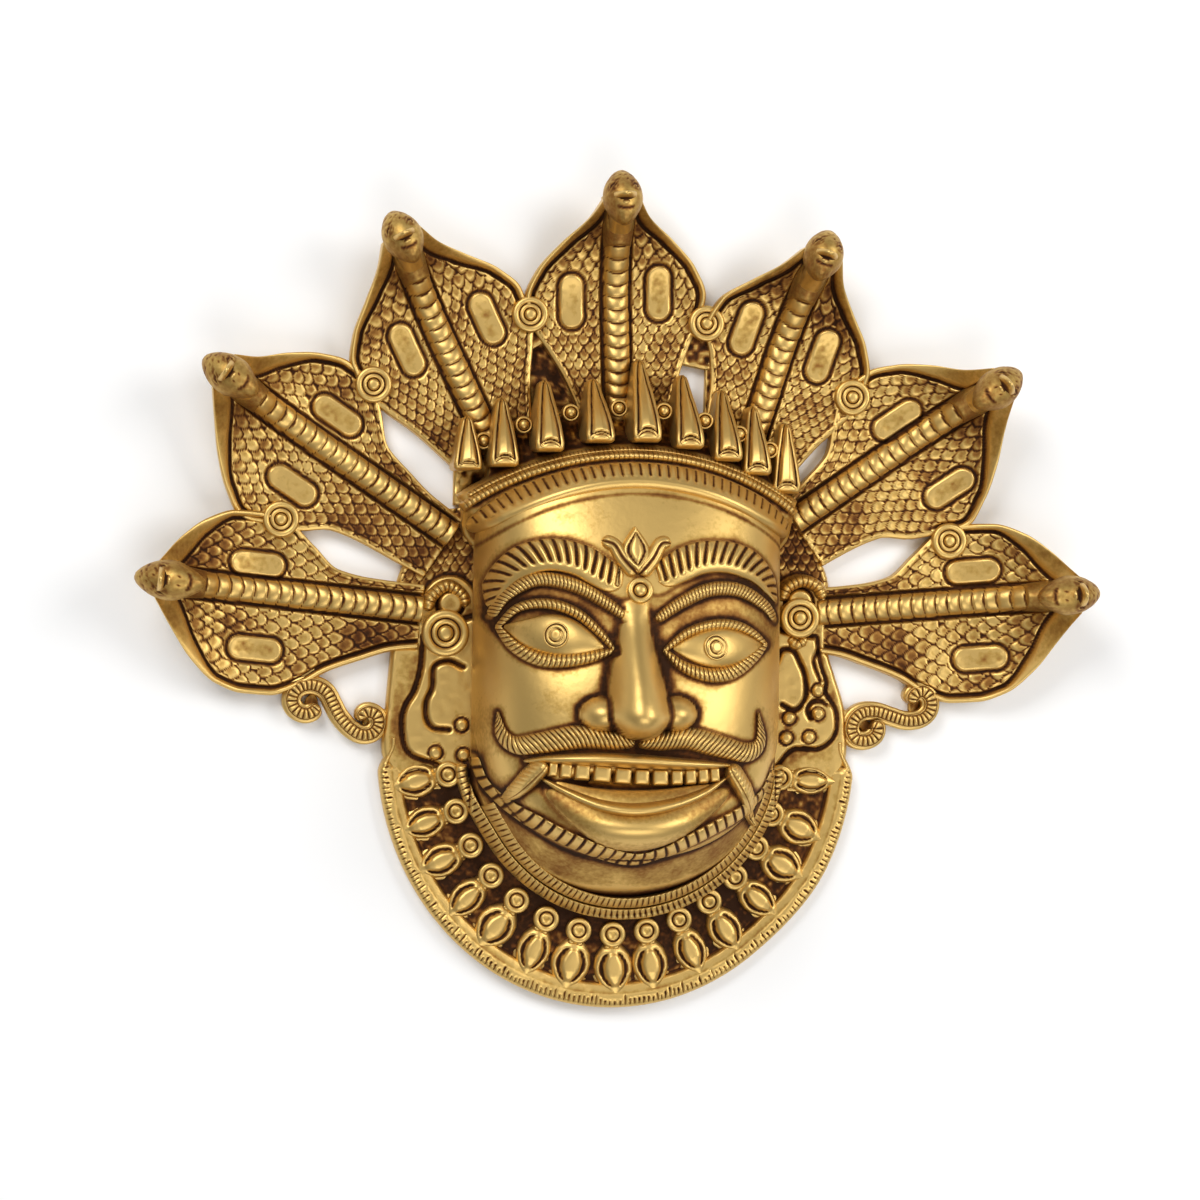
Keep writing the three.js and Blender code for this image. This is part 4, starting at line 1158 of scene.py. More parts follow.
def tooth(name):
    """One square tooth with chamfered edges, a millimetre wide, deep and high."""
    deselect()
    bpy.ops.mesh.primitive_cube_add(size=MM)
    piece = bpy.context.object
    piece.name = name
    bpy.ops.object.mode_set(mode="EDIT")
    bpy.ops.mesh.select_all(action="SELECT")
    bpy.ops.mesh.subdivide(number_cuts=2)
    bpy.ops.object.mode_set(mode="OBJECT")
    for vertex in piece.data.vertices:
        if vertex.co.z > 0.4 * MM:
            vertex.co.x *= 0.86
            vertex.co.y = vertex.co.y * 0.86 + 0.05 * MM
    bevel = piece.modifiers.new("edges", "BEVEL")
    bevel.width = 0.1 * MM
    bevel.segments = 2
    bevel.limit_method = "ANGLE"
    bpy.ops.object.modifier_apply(modifier="edges")
    return piece


def set_teeth():
    """Teeth along the mouth, each its own width, standing square to the face."""
    line = Line(TEETH["line"])
    widths = np.array(TEETH["widths"])
    gaps = widths / widths.sum() * line.long
    moves = []
    for end, gap in zip(np.cumsum(gaps), gaps):
        s = end - gap / 2
        x, y = line.at(s)
        slope = math.atan2(*(np.interp(s, line.s, n) for n in (line.ny, line.nx))) - math.pi / 2
        high = TEETH["high"] * (0.72 + 0.28 * gap / gaps.max())
        moves.append(Matrix.Translation(place((x, y, face_at(x, y) - 1.1)))
                     @ Matrix.Rotation(slope, 4, "Z")
                     @ Matrix.Diagonal((gap * 0.88, high, TEETH["deep"] * 2, 1)))
    return set_out(tooth("tooth"), moves, "teeth")


def features():
    """Ribbons of the face: piece, lines, half width, height, the painted shade on the face beside
    them, the detail of the left and the right one, and how they differ from a plain strip."""
    return [
        ("brows", BROWS, through([0, 0.12, 0.35, 0.8, 1], [0.7, 2.6, 4.0, 4.2, 3.5]),
         swell(1.0, 2.1), 0.5,
         lambda side: ribbed(2.3, 1.25, 1.3 * side, 0.5, -side), {"columns": 31, "power": 2.6}),
        ("lid_rolls", LIDS, swell(1.1, 1.8), swell(1.4, 2.5), 0.75,
         lambda side: ribbed(0.95, 0.4, 0.4 * side, 0.2), {"columns": 19, "step": 0.22}),
        ("eye_rims", EYE_TOPS, swell(0.5, 1.35), swell(1.2, 2.3), 0.75,
         lambda side: ribbed(1.15, 0.45, 0.4 * side, 0.23), {"columns": 15, "step": 0.25}),
        ("eye_rims", EYE_FEET, swell(0.5, 1.85), swell(1.2, 2.4), 0.75,
         lambda side: ribbed(1.2, 0.5, -0.5 * side, 0.24), {"columns": 17, "step": 0.25}),
        ("eyeballs", EYEBALLS, eye_half, swell(0.2, 2.9, 0.9), 0,
         lambda side: eye_corner_painted_shade, {"columns": 33, "edge_round": False}),
        ("whiskers", WHISKERS,
         through([0, 0.12, 0.4, 0.72, 0.86, 1], [1.0, 2.4, 3.0, 2.4, 1.4, 0.2]),
         through([0, 1], [3.4, 1.5]), 0.75,
         lambda side: ribbed(1.2, 0.6, 1.5 * side, 0.24),
         {"columns": 23, "step": 0.22, "sink": 2.0}),
        ("lips", [UPPER_LIP], swell(0.3, 1.8), swell(1.8, 4.0), 0.7,
         lambda side: toned(0.12), {"columns": 19, "sink": 2.0}),
        ("lips", [INNER_LIP], swell(0.4, 2.3), swell(0.3, 0.8), 0,
         lambda side: toned(0.42), {"columns": 17, "sink": 4.0}),
        ("lips", [LOWER_LIP], swell(0.3, 1.7), swell(1.6, 3.3), 0.75,
         lambda side: toned(0.26), {"columns": 21, "sink": 3.0}),
        ("chin", [CHIN], swell(0.8, 4.9), swell(0.4, 2.4), 0.35,
         lambda side: chin_tone_and_painted_highlight, {"columns": 31, "sink": 3.0}),
        ("fangs", FANGS, through([0, 0.12, 0.4, 0.75, 1], [2.1, 2.45, 2.45, 1.8, 0.4]),
         through([0, 1], [5.0, 2.4]), 0.7, hatched,
         {"columns": 25, "step": 0.22, "sink": 6.0, "power": 1.7, "floor": fang_floor}),
        ("chin_strap", [STRAP],
         through([0, 0.12, 0.22, 0.9, 1], [0.9, 1.1, 1.85, 1.85, 1.4]), 1.7, 0.7,
         lambda side: strap_blocks, {"columns": 19, "sink": 2.0, "power": 3.0}),
        ("lotus", LOTUS_LEAVES, through([0, 1], [2.3, 1.7]), 2.2, 0,
         lambda side: channelled, {"columns": 21, "step": 0.2}),
        ("lotus", [LOTUS_BUD], bud_half, 2.6, 0,
         lambda side: bud_lens, {"columns": 25, "step": 0.2, "edge_round": False}),
    ]


def carve_features():
    """Brows, lids, eyes, whiskers, lips, chin, fangs, strap and lotus, by name."""
    pieces = {}
    for name, lines, half, high, _, detail, ways in features():
        step, floor = ways.pop("step", 0.3), ways.pop("floor", face_height)
        pieces.setdefault(name, []).extend(
            strip(Line(line, step), floor, half, high, detail=detail(side), **ways)
            for side, line in zip((1, -1), lines))
    return pieces


def eye_corner_painted_shade(s, v, share):
    """Painted shade in the corners of the eyeball, where it sinks under the lids."""
    return 0, 0.3 * smooth((np.abs(share - 0.5) - 0.36) / 0.12) + 0.02


def eye_half(share):
    """Half height of an eyeball, which is pointed at both corners."""
    return 0.3 + 4.9 * np.sin(np.pi * np.clip(share, 0, 1)) ** 0.9


def chin_tone_and_painted_highlight(s, v, share):
    """The chin is darker, with a painted highlight in its middle."""
    return 0, 0.42 - 0.4 * bump(share - 0.52, v, 0.16, 0.5)


def strap_blocks(s, v, share):
    cut = cuts(s, 2.8, 0.45)
    return -1.5 * cut * np.sqrt(np.clip(1 - v**2, 0, 1)) ** 0.5, 0.9 * cut + 0.15


def fang_floor(x, y):
    """The fangs stand clear of the neck, over which their tips reach."""
    return np.maximum(face_height(x, y), FANG_FLOOR)


def hatched(side):
    """A fang has a broad hatched facet, and a smooth roll along its lower edge."""
    def detail(s, v, share):
        facet = smooth((0.15 - side * v) / 0.15)
        cut = cuts(s + 1.1 * v, 1.3, 0.22) * facet
        ridge = groove(v - 0.3 * side, 0.12)
        return -0.25 * cut - 0.5 * ridge, 0.4 * cut + 0.6 * ridge - 0.2
    return detail


def channelled(s, v, share):
    return -0.7 * groove(v, 0.24), 0.7 * groove(v, 0.26)


def bud_half(share):
    return 0.15 + 4.0 * np.sin(np.pi * np.clip(share, 0, 1) ** 0.85) ** 0.9 * (1 - 0.25 * share)


def bud_lens(s, v, share):
    edge = 0.55 * np.sin(np.pi * np.clip((share - 0.12) / 0.76, 0, 1)) ** 0.8
    ends = smooth((share - 0.1) / 0.06) * smooth((0.9 - share) / 0.06)
    cut = groove(np.abs(v) - edge, 0.13) * ends
    return -0.7 * cut, 0.75 * cut


# Headband

def band_point(angle, r):
    x = BAND["x"] + r * np.sin(angle)
    y = BAND["y"] + r * np.cos(angle)
    aside = (BAND["r"] * np.sin(angle)) / BAND["half"]
    return x, y, BAND["low"] + BAND["rise"] * (1 - aside * aside)


def band_line(r, reach=1.0):
    end = math.asin(BAND["half"] / BAND["r"]) * reach
    angles = np.linspace(-end, end, 25)
    x, y, _ = band_point(angles, r)
    return Line(np.stack([x, y], axis=-1))


def band_floor(x, y):
    """Height of the shoulder that carries the headband and falls to the hoods."""
    angle = np.arctan2(x - BAND["x"], y - BAND["y"])
    _, _, z = band_point(angle, BAND["r"])
    share = np.interp(from_band(x, y), [SHOULDER["reach"], SHOULDER["bend"], SHOULDER["outer"]],
                      [1, SHOULDER["share"], 0])
    fall = smooth((np.abs(angle) - 0.59) / 0.07)
    return np.maximum(SHOULDER["edge"] + (z - 4.6) * share * (1 - 0.5 * fall), 0.5)


def shoulder_body():
    """The shoulder under the headband, with pitted ground between the spikes."""
    rows, columns = 61, 257
    out = np.linspace(0, 1, rows)[:, None]
    angle = np.linspace(-1, 1, columns) * (0.66 - 0.06 * smooth(out * 1.4 - 0.3))
    outer = SHOULDER["outer"] - 9 * smooth((np.abs(angle) - 0.4) / 0.1)
    r = SHOULDER["inner"] + (outer - SHOULDER["inner"]) * out
    x, y, _ = band_point(angle, r)
    form = Relief(x, y, band_floor(x, y))
    pit = smooth((r - BAND["r"] - 7.2) / 1.2)
    rough = 0.5 * form.noise(2.2, 31) + 0.35 * form.noise(0.9, 32)
    # the pitted ground between the spikes is dark, partly rough tarnished ground and partly painted
    # shade among the spikes; painted shade also lies in the crease between the roll and the rope
    form.add(0.12 * (1 - pit) * form.noise(1.4, 33) - pit * (1.5 + 0.9 * rough),
             pit * (0.95 + 0.5 * form.noise(2.4, 34)) + 0.7 * groove(r - BAND["r"] - 3.4, 0.5)
             + 0.45 * (1 - pit))

    def drop(points):
        return at_height(points, grounded(np.maximum(points[..., 2] - WALL - 1.5, 0)))

    return form.body(drop, 0.3)


def web_body(outline, top, tone):
    """A thin rough plate between four corners, that closes a gap between two hoods."""
    t = np.linspace(0, 1, 21)
    a, b = t[:, None, None], t[None, :, None]
    corners = np.array(outline, float).reshape(2, 2, 2)
    near, far = (pair[0] * (1 - b) + pair[1] * b for pair in corners)
    x, y = np.moveaxis(near * (1 - a) + far * a, -1, 0)
    rough = mottle(x, y, 1.5, 35)
    return Relief(x, y, top + 0.4 * rough, tone + 0.3 * tone * rough).body(under=tone)


def knobs(s, v, share):
    """Round knobs side by side on the upper part of the roll, whose lower part stays smooth."""
    low = 1 - np.abs(np.sin(np.pi * s / KNOB_PITCH)) ** 0.7
    upper = smooth((v + 0.12) / 0.25) * smooth((0.97 - v) / 0.15)
    return -1.2 * low * upper - 0.25 * groove(v + 0.14, 0.06), (0.5 * low**2 + 0.06) * upper


def roll_floor(x, y):
    """The roll lies half on the shoulder and half on the forehead, which is the higher one."""
    aside = np.abs(x - BAND["x"])
    lift = (2.4 + 4 * smooth(aside / 30)) * smooth((43 - aside) / 9)
    return band_floor(x, y) + lift * (1 - smooth((from_band(x, y) - 66) / 8))


def band_bodies():
    """The knobbed roll, a rope above it and a row of fine beads."""
    r = BAND["r"]
    return [
        strip(band_line(r - 0.7), roll_floor,
              through([0, 0.05, 0.13, 0.87, 0.95, 1], [1.85, 2.775, 3.7, 3.7, 2.775, 1.85]), 3.4,
              sink=3.5, columns=29, detail=knobs, power=2.2),
        strip(band_line(r + 4.75, 0.96), band_floor, 1.15, 1.8, sink=2, edge_round=False,
              detail=ribbed(1.25, 0.5, width=0.24)),
        strip(band_line(r + 6.5, 0.9), band_floor, 0.6, 1.2, sink=1.5, columns=9,
              detail=ribbed(1.05, 0.45, width=0.22), edge_round=False),
    ]


def spike_places():
    """For each spike its x, the y of its foot, its length and the height it lies on."""
    for i, (x, back, short) in enumerate(SPIKES):
        aside = x - SPIKE["x"]
        foot = SPIKE["base"] - SPIKE["drop"] * aside * aside + back
        long = SPIKE["long"] - SPIKE["shorter"] * abs(i - len(SPIKES) // 2) - short
        yield x, foot, long, BAND["low"] + BAND["rise"] * (1 - (aside / SPIKE["reach"]) ** 2) - 2


def bead_spots():
    """The beads stand between the spikes."""
    places = list(spike_places())
    for (ax, _, _, z), (bx, _, _, _) in zip(places, places[1:]):
        x = (ax + bx) / 2
        y = SPIKE["base"] + 7.4 - SPIKE["drop"] * (x - SPIKE["x"]) ** 2
        yield x, y, 5 + (z - 6) * 0.55, 1


def spike_bodies():
    half = through([0, 0.03, 0.12, 0.3, 0.6, 0.9, 0.97, 1],
                   SPIKE["half"] * np.array([0.85, 1.05, 1.1, 0.98, 0.76, 0.47, 0.36, 0.12]))
    high = through([0, 0.04, 0.12, 0.93, 1], [0.3, 1.6, 2.0, 1.7, 0.5])
    bodies = []
    for x, foot, long, z in spike_places():
        def floor(px, py):
            run = (py - foot) / long
            fall = 0.6 * smooth((run - 0.1) / 0.9) + 0.4 * np.clip(run, 0, 1)
            return z + (10.5 - z) * fall - 0.8

        line = Line([(x, foot - 1.4), (x, foot + long * 0.5), (x, foot + long)])
        bodies.append(strip(line, floor, half, high, sink=-3.0, columns=29,
                            detail=tongue, edge_round=False, power=3.0, side=0.4))
    return bodies


def tongue(s, v, share):
    """A keeled tongue that lies in the spike, in a groove of its own, above a rolled foot."""
    foot_edge = 0.17 - 0.055 * (v / 0.6) ** 2
    wide = 0.62 * np.interp(share, [0, 0.12, 0.5, 0.93, 1], [0.95, 1, 0.9, 0.55, 0])
    gap = np.maximum(np.abs(v) - wide, (foot_edge - share) * 7)
    inside = smooth(-gap / 0.1)
    keel = np.clip(1 - np.abs(v + 0.12) / (wide + 0.05), 0, 1)
    cut = groove(gap - 0.05, 0.085)
    brow = groove(share - foot_edge + 0.05, 0.014) * smooth((0.75 - np.abs(v)) / 0.1)
    return inside * (0.5 + 0.8 * keel) - 0.75 * cut - 0.5 * brow, 0.85 * cut + 0.7 * brow - 0.1


# Bib

def oval(shape, angle, scale):
    x = shape["x"] + shape["half"] * scale * np.sin(angle)
    return x, shape["y"] - shape["deep"] * scale * np.cos(angle)


def bib_height(scale):
    return np.interp(scale, [0.6, 0.8, 0.9, 0.97, 1], [7, 3.6, 3.2, 4.4, 2.6])


def bib_body():
    """The bib: a notched rim with a groove inside it, and pitted ground up to the necklace."""
    rows, columns = 65, 601
    reach = math.pi / 2 + 0.03
    angle = np.linspace(-reach, reach, columns) + np.zeros((rows, 1))
    scale = np.linspace(0.6, 1, rows)[:, None] + np.zeros(columns)
    far = np.abs(angle)
    x, y = oval(BIB, angle, scale)
    x = BIB["x"] + (x - BIB["x"]) * (1 - 0.05 * smooth((far - 1.46) / 0.12))
    x = x + 2.0 * smooth((angle - 0.65) / 0.45) * smooth((scale - 0.8) / 0.15)
    along, edge = angle * BIB_R, (1 - scale) * BIB_R
    uneven = 0.35 * mottle(along, 0, 4.0, 41) + 0.12 * edge * mottle(along, 0, 9.0, 42)
    long = 2.7 + 0.9 * mottle(along, 0, 1.3, 43)
    notch = cuts(along + uneven, 1.3, 0.24) * smooth((1.52 - far) / 0.04)
    notch = notch * smooth((long - edge) / 0.5) * smooth((edge - 0.2) / 0.4)
    form = Relief(x, y, bib_height(np.minimum(scale, 0.955)), 0.13)
    form.add(0.9 * smooth((6.2 - edge) / 0.5) - 0.6 * notch
             - 0.12 * groove(edge - 3.6, 0.5) - 0.45 * groove(edge - 6.3, 0.25)
             - 1.6 * (1 - np.sqrt(np.clip(edge / 1.2, 0, 1))))
    # the two upper ends run out flat under the ears
    form.add(-3.4 * smooth((far - 1.47) / 0.07) * smooth((edge - 1) / 2))
    form.z = np.maximum(form.z, 0.5)
    ground = smooth((edge - 6.5) / 0.5)
    patch = np.clip(0.5 + 0.9 * form.noise(4.2, 47) + 0.35 * form.noise(1.5, 48), 0, 1)
    form.add(ground * (0.14 * form.noise(1.1, 44) + 0.22 * form.noise(3.1, 45))
             + 0.06 * form.noise(1.6, 46),
             0.95 * notch + 0.75 * groove(edge - 6.35, 0.3) + ground * (0.66 + 0.3 * patch)
             + 0.5 * smooth((edge - 15) / 4) + 0.15 * form.noise(3.0, 49) * (1 - ground))
    return form.body(under=0.2)


def rope_bodies():
    """Two ropes round the neck, on the bib and on the face where that stands higher."""
    bodies = []
    for scale, height, slant, start in ((1, 8.6, 0.2, 1.46), (0.925, 10.4, -0.1, 1.2)):
        def floor(x, y):
            on_face = np.abs(x - FACE_X) < FACE_HALF
            return np.maximum(height, np.where(on_face, face_height(x, y) - 0.6, 0))

        angles = np.linspace(-start, PENDANT_REACH * 1.02, 33)
        x, y = oval(NECKLACE, angles, scale)
        line = Line(np.stack([x - 1.6 * smooth((-angles - 1.0) / 0.4), y], axis=-1), 0.32)
        bodies.append(strip(line, floor, 1.45, 1.7, sink=-3.0, columns=15, edge_round=False,
                            detail=ribbed(1.5, 0.6, slant, 0.26), power=2.4))
    return bodies


def pendant_bodies():
    """The drops on their flat borders, with a collar each, and the spots of the bosses above."""
    shares = [0, 0.1, 0.22, 0.4, 0.55, 0.7, 0.84, 0.94, 1]
    halves = np.array([0.42, 0.66, 0.88, 1, 0.96, 0.78, 0.46, 0.2, 0.05])
    high = through([0, 0.15, 0.6, 1], [1.8, 2.5, 2.5, 0.9])
    bodies, spots = [], []
    chance = np.random.default_rng(5)
    for i in range(PENDANTS):
        angle = PENDANT_REACH * (2 * i / (PENDANTS - 1) - 1)
        lean, grown = chance.uniform(-0.03, 0.03), chance.uniform(0.9, 1.1)
        wide = (4.1 + 0.7 * math.cos(angle)) * grown
        drop = [oval(BIB, angle + lean * bend, scale) for scale, bend in PENDANT_LINE]
        collar = [oval(BIB, angle + a, 0.765) for a in (-0.052, -0.026, 0, 0.026, 0.052)]
        bodies += [
            strip(Line(drop), level(3.4), through(shares, wide * halves), high,
                  sink=1.5, columns=27, detail=drop_lens, edge_round=False),
            strip(Line(drop, 0.5), level(2.7), through(shares, 0.9 + wide * halves), 0.8,
                  sink=1.5, columns=9, detail=toned(0.75), edge_round=False, power=3.0),
            strip(Line(collar, 0.2), level(3.6), 0.95, 2.5,
                  sink=1.5, columns=11, detail=ribbed(2.3, 0.8, width=0.4)),
        ]
        spots.append((*oval(BIB, angle, 0.715), 6.0, 1))
    return bodies, spots


def drop_lens(s, v, share):
    """Two bowed cuts, with a raised lens between them."""
    run = np.clip((share - 0.08) / 0.8, 0, 1)
    lens = 0.5 * np.sin(np.pi * run) ** 0.8
    gap = np.abs(v) - lens - 0.14
    ends = smooth((share - 0.16) / 0.08) * smooth((0.8 - share) / 0.08)
    cut = groove(gap, 0.12) * ends
    return 0.5 * smooth(-gap / 0.3) * ends - 1.1 * cut, 0.95 * cut - 0.1


# Ears and scrolls

def outline_gap(outline, x, y):
    """Distance to a closed outline, negative inside it and large far from it."""
    line = Line(outline + outline[:1])
    away, _ = line.nearest(x, y, 6)
    inside = np.zeros(x.shape, bool)
    for ax, ay, bx, by in zip(line.x, line.y, line.x[1:], line.y[1:]):
        if ay != by:
            inside ^= ((ay > y) != (by > y)) & (x < ax + (y - ay) * (bx - ax) / (by - ay))
    return np.where(inside, -away, away)


def ear_body(ear):
    """A panel with an ear raised on it, cut and dotted, a disc above it, and curls."""
    rows, columns = 197, 65
    share, t = np.linspace(0, 1, rows)[:, None], np.linspace(0, 1, columns)
    sides = Line(ear["inner"]), Line(ear["edge"])
    (ax, ay), (bx, by) = (line.at(share * line.long) for line in sides)
    x, y = ax * (1 - t) + bx * t, ay * (1 - t) + by * t
    edge = (1 - t) * np.abs(bx - ax)
    gap = outline_gap(ear["raised"], x, y)
    form = Relief(x, y, EAR_TOP - EAR_RISE + 1.9 * smooth(0.5 - gap / 1.2))
    # painted shade round the foot of the raised ear
    form.add(-0.6 * groove(gap - 0.7, 0.5) - 1.4 * (1 - np.sqrt(np.clip(edge, 0, 1))),
             0.85 * groove(gap - 0.6, 0.55) + 0.4 * groove(gap - 1.2, 1.6) * (gap > 0))
    # the cuts are dark, and painted shade lies round each dot and round the foot of the disc
    for points in ear["cuts"]:
        away, _ = Line(points).nearest(x, y, 5)
        form.add(-1.5 * groove(away, 0.62), groove(away, 0.72))
    for dot in ear["dots"]:
        away = np.hypot(x - dot[0], y - dot[1])
        form.add(0.5 * smooth((2.1 - away) / 0.4) - 0.7 * groove(away - 1.75, 0.3)
                 + 0.3 * smooth((1.6 - away) / 0.8),
                 0.8 * groove(away - 1.75, 0.34) + 0.5 * groove(away - 2.5, 0.4))
    dx, dy, r = ear["disc"]
    away = np.hypot(x - dx, y - dy)
    form.add(2.0 * smooth((r + 0.2 - away) / 0.9) - 0.5 * groove(away - r - 0.4, 0.35),
             0.8 * groove(away - r - 0.4, 0.4))
    # the hoods run in over the panel, which lies low there, with scales and painted shade
    out, turn = ear["low"]
    low = smooth((x - out) * turn / 1.2) * smooth((y + 17) / 2.5)
    low = np.maximum(low, smooth((away - 6.6) / 1.0) * smooth((y + 6) / 2))
    scale, shade = scales(60 - y, x + 0.5 * form.noise(5.0, 24), 2.1, 2.7)
    form.add(low * (0.5 * scale - 1.7) + 0.07 * form.noise(1.6, 23),
             low * (0.35 + shade + 0.3 * form.noise(5.0, 25)) - 0.14 * (1 - low)
             + 0.3 * np.clip(form.noise(4.0, 21), 0, 1) + 0.22 * (gap > 0.6)
             + 0.12 * form.noise(1.3, 22))
    curls = [strip(Line(line), level(EAR_TOP - EAR_RISE), 1.7, 3.2, columns=15,
                   detail=ribbed(1.35, 0.5)) for line in ear["curls"]]
    return [form.body(under=0.2)] + curls


def beaded(s, v, share):
    """A row of beads between two borders."""
    cut = cuts(s, 1.2, 0.25) * smooth((0.74 - np.abs(v)) / 0.1)
    border = groove(np.abs(v) - 0.78, 0.09)
    return -0.45 * cut - 0.5 * border, 0.6 * cut + 0.7 * border


def scroll_body(name):
    """A beaded scroll on a broader plate, the webs that join it to what is beside it, and a low
    plate in the eye of each curl, painted dark as the shade there."""
    points = SCROLLS[name]
    low = [(points, 0.5, 1.9, 2.5, 1.2, {})]
    for web in SCROLL_WEBS[name]:
        low.append((web, 0.5, 2.2, 3.2, 1.1, {"columns": 15, "edge_round": False}))
    # a low plate in the eye of each curl, painted near black as the shade there
    for end, tail in ((points[0], points[4]), (points[-1], points[-5])):
        eye = [end, ((end[0] + tail[0]) / 2, (end[1] + tail[1]) / 2)]
        low.append((eye, 0.4, 3.0, 3.0, 0.6, {"detail": toned(0.95)}))
    return [
        strip(Line(points, 0.22), level(SCROLL_TOP), 1.75, 1.5, columns=25, detail=beaded,
              power=2.6),
        *(strip(Line(line, step), level(SCROLL_TOP - down), half, high, sink=TO_GROUND,
                power=5.0, **ways) for line, step, down, half, high, ways in low),
    ]


# Operators

def length(name, description, default):
    return bpy.props.FloatProperty(name=name, description=description, default=default,
                                   unit="LENGTH", precision=5)


def colour(name, description, default):
    return bpy.props.FloatVectorProperty(name=name, description=description, default=default,
                                         subtype="COLOR")


class MaskSizes(bpy.types.PropertyGroup):
    rim_width: length("Rim width", "Width of the rolled edge of a hood", 2.6 * MM)
    rim_height: length("Rim height", "Height of the rolled edge of a hood", 1.3 * MM)
    scale_length: length("Scale length", "Step from one row of scales to the next", 2.7 * MM)
    scale_width: length("Scale width", "Step from one scale to the next in its row", 3.5 * MM)
    scute_pitch: length("Scute pitch", "Step between the plates of a snake's belly", 3.2 * MM)
    camera_distance: length("Camera distance", "Distance of the camera from the mask", 1.0)


class MaskFinish(bpy.types.PropertyGroup):
    polished: colour("Polished brass", "Colour of the rubbed crests", (0.69, 0.46, 0.15))
    satin: colour("Satin brass", "Colour of the flat surfaces", (0.52, 0.33, 0.092))
    # the darker colours stand for tarnish and painted shade alike
    tarnished_and_shaded: colour("Tarnish and painted shade", "Colour at the edge of a hollow", (0.30, 0.14, 0.034))
    deep: colour("Deep tarnish and painted shade", "Colour low in a hollow", (0.11, 0.036, 0.008))
    pitch: colour("Pitch", "Colour at the bottom of a hollow", (0.032, 0.011, 0.003))
    gloss: bpy.props.FloatProperty(
        name="Roughness", description="Roughness of the polished crests",
        default=0.43, subtype="FACTOR", min=0, max=1)


class MASK_OT_hoods(bpy.types.Operator):
    """Build the seven cobra hoods and their heads"""
    bl_idname = "mask.hoods"
    bl_label = "Cobra Hoods"

    def execute(self, context):
        for name, *shape in HOODS:
            hood = Hood(*shape)
            add_piece("hood_" + name, [hood_body(hood)])
            add_piece("head_" + name, [head_body(hood), throat_body(hood)], 0.3)
        return {"FINISHED"}


class MASK_OT_bosses(bpy.types.Operator):
    """Build the ringed bosses between the hoods and on the ears"""
    bl_idname = "mask.bosses"
    bl_label = "Bosses"

    def execute(self, context):
        spots = [(x, y, 5.0, 1) for x, y in HOOD_BOSSES]
        spots += [(x, y, 7.2, r / BOSS_R) for x, y, r in EAR_BOSSES]
        round_pieces("bosses", spots)
        return {"FINISHED"}


class MASK_OT_face(bpy.types.Operator):
    """Build the face and all that stands on it"""
    bl_idname = "mask.face"
    bl_label = "Face"

    def execute(self, context):
        add_piece("face", [face_body()])
        for name, bodies in carve_features().items():
            add_piece(name, bodies)
        finish_piece(set_teeth(), 0.1, 6)
        for name, places, lift in (("irises", IRISES, 2.75), ("forehead_spot", [THIRD_EYE], 0.3)):
            spots = [(x, y, face_at(x, y) + lift, 1) for x, y in places]
            round_pieces(name, spots, 8, face_height)
        return {"FINISHED"}


class MASK_OT_headband(bpy.types.Operator):
    """Build the headband with its spikes and beads"""
    bl_idname = "mask.headband"
    bl_label = "Headband"

    def execute(self, context):
        add_piece("shoulder", [shoulder_body()])
        # the low plate in the slot is painted near black, and the webs dark, as the shade in the
        # gaps between the hoods
        webs = [(SLOT_SHADE_PLATE, 1.2, 0.95), *((web, 3.3, 0.75) for web in SLOT_WEBS),
                (SIDE_WEB, 3.5, 0.45)]
        add_piece("slot_webs", [web_body(*web) for web in webs])
        add_piece("headband", band_bodies())
        add_piece("spikes", spike_bodies())
        round_pieces("beads", list(bead_spots()))
        return {"FINISHED"}


class MASK_OT_bib(bpy.types.Operator):
    """Build the bib with its ropes and pendants"""
    bl_idname = "mask.bib"
    bl_label = "Bib"

    def execute(self, context):
        add_piece("bib", [bib_body()])
        add_piece("necklace", rope_bodies())
        bodies, spots = pendant_bodies()
        add_piece("pendants", bodies)
        round_pieces("pendant_bosses", spots)
        return {"FINISHED"}


class MASK_OT_ears(bpy.types.Operator):
    """Build the ear panels and the scrolls beside them"""
    bl_idname = "mask.ears"
    bl_label = "Ears"

    def execute(self, context):
        for name, ear in EARS.items():
            add_piece("ear_" + name, ear_body(ear))
            add_piece("scroll_" + name, scroll_body(name))
        return {"FINISHED"}


class MASK_OT_stage(bpy.types.Operator):
    """Lay the floor, hang the lights and set the camera"""
    bl_idname = "mask.stage"
    bl_label = "Stage"

    def execute(self, context):
        lay_floor()
        hang_lights()
        set_camera()
        return {"FINISHED"}


def lay_floor():
    deselect()
    bpy.ops.mesh.primitive_plane_add(size=6)
    floor = bpy.context.object
    floor.name = "floor"
    bpy.ops.object.mode_set(mode="EDIT")
    bpy.ops.mesh.subdivide(number_cuts=3)
    bpy.ops.object.mode_set(mode="OBJECT")
    material = bpy.data.materials.new("paper")
    material.use_nodes = True
    shader = material.node_tree.nodes["Principled BSDF"]
    shader.inputs["Base Color"].default_value = (0.92, 0.92, 0.92, 1)
    shader.inputs["Roughness"].default_value = 0.9
    floor.data.materials.append(material)


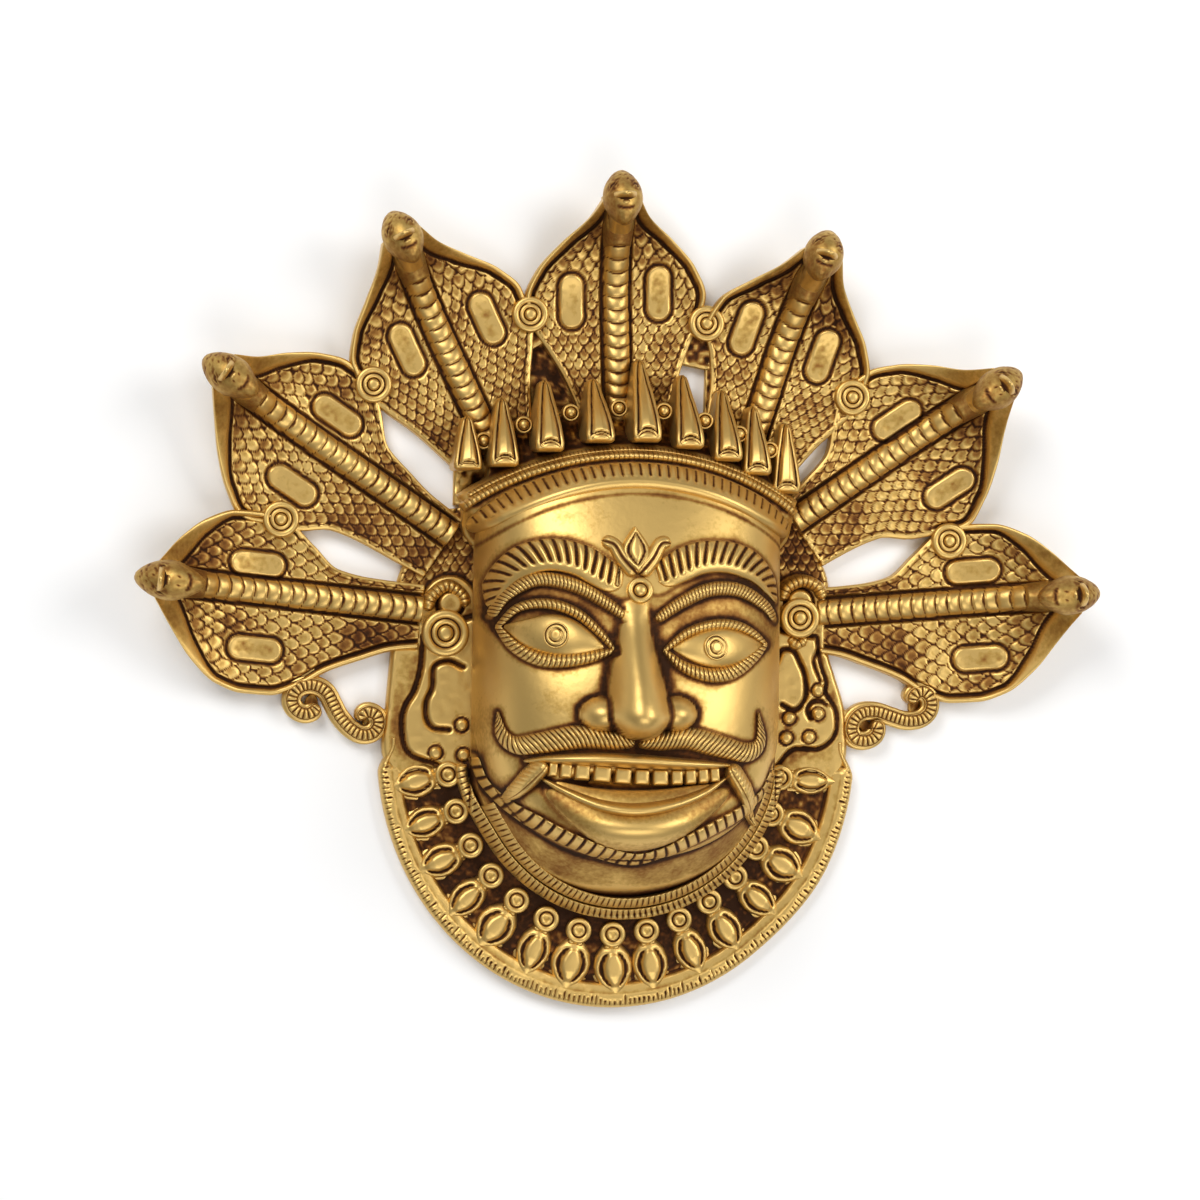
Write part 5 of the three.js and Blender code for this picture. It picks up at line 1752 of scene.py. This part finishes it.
def hang_lights():
    world = bpy.data.worlds.new("studio")
    world.use_nodes = True
    back = world.node_tree.nodes["Background"]
    back.inputs["Color"].default_value = (1, 1, 1, 1)
    back.inputs["Strength"].default_value = 0.3
    bpy.context.scene.world = world
    for name, (spot, size, power) in LIGHTS.items():
        deselect()
        bpy.ops.object.light_add(type="AREA", location=spot)
        light = bpy.context.object
        light.name = name
        light.data.size = size
        light.data.energy = power
        light.rotation_euler = (-Vector(spot)).to_track_quat("-Z", "Y").to_euler()
    bpy.context.scene.view_settings.view_transform = "Standard"


def set_camera():
    """Looks down on the mask from a little to its left, as in the photograph."""
    azimuth, roll = math.radians(CAMERA["azimuth"]), math.radians(CAMERA["roll"])
    out = Vector((math.sin(azimuth), 0, math.cos(azimuth)))
    level_right = Vector((0, 1, 0)).cross(out).normalized()
    level_up = out.cross(level_right)
    right = math.cos(roll) * level_right + math.sin(roll) * level_up
    up = math.cos(roll) * level_up - math.sin(roll) * level_right
    distance = sizes().camera_distance
    target = Vector(place((0, 0, CAMERA["target"])))
    centre = target + out * distance + (right * CAMERA["right"] + up * CAMERA["up"]) * MM
    camera = bpy.data.objects.new("camera", bpy.data.cameras.new("camera"))
    bpy.context.collection.objects.link(camera)
    turn = Matrix((right, up, out)).transposed().to_4x4()
    camera.matrix_world = Matrix.Translation(centre) @ turn
    camera.data.sensor_width = 36
    camera.data.lens = CAMERA["lens"] * distance
    bpy.context.scene.camera = camera


class MASK_PT_panel(bpy.types.Panel):
    bl_label = "Cobra Hood Mask"
    bl_idname = "MASK_PT_panel"
    bl_space_type = "VIEW_3D"
    bl_region_type = "UI"
    bl_category = "Mask"

    def draw(self, context):
        for step in STEPS:
            self.layout.operator("mask." + step)


STEPS = ["hoods", "bosses", "face", "headband", "bib", "ears", "stage"]
CLASSES = [
    MaskSizes, MaskFinish, MASK_OT_hoods, MASK_OT_bosses, MASK_OT_face, MASK_OT_headband,
    MASK_OT_bib, MASK_OT_ears, MASK_OT_stage, MASK_PT_panel,
]


def register():
    for cls in CLASSES:
        bpy.utils.register_class(cls)
    bpy.types.Scene.mask_sizes = bpy.props.PointerProperty(type=MaskSizes)
    bpy.types.Scene.mask_finish = bpy.props.PointerProperty(type=MaskFinish)


def unregister():
    del bpy.types.Scene.mask_finish
    del bpy.types.Scene.mask_sizes
    for cls in reversed(CLASSES):
        bpy.utils.unregister_class(cls)


def main():
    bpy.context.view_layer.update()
    register()
    for step in STEPS:
        getattr(bpy.ops.mask, step)()


if __name__ == "__main__":
    main()
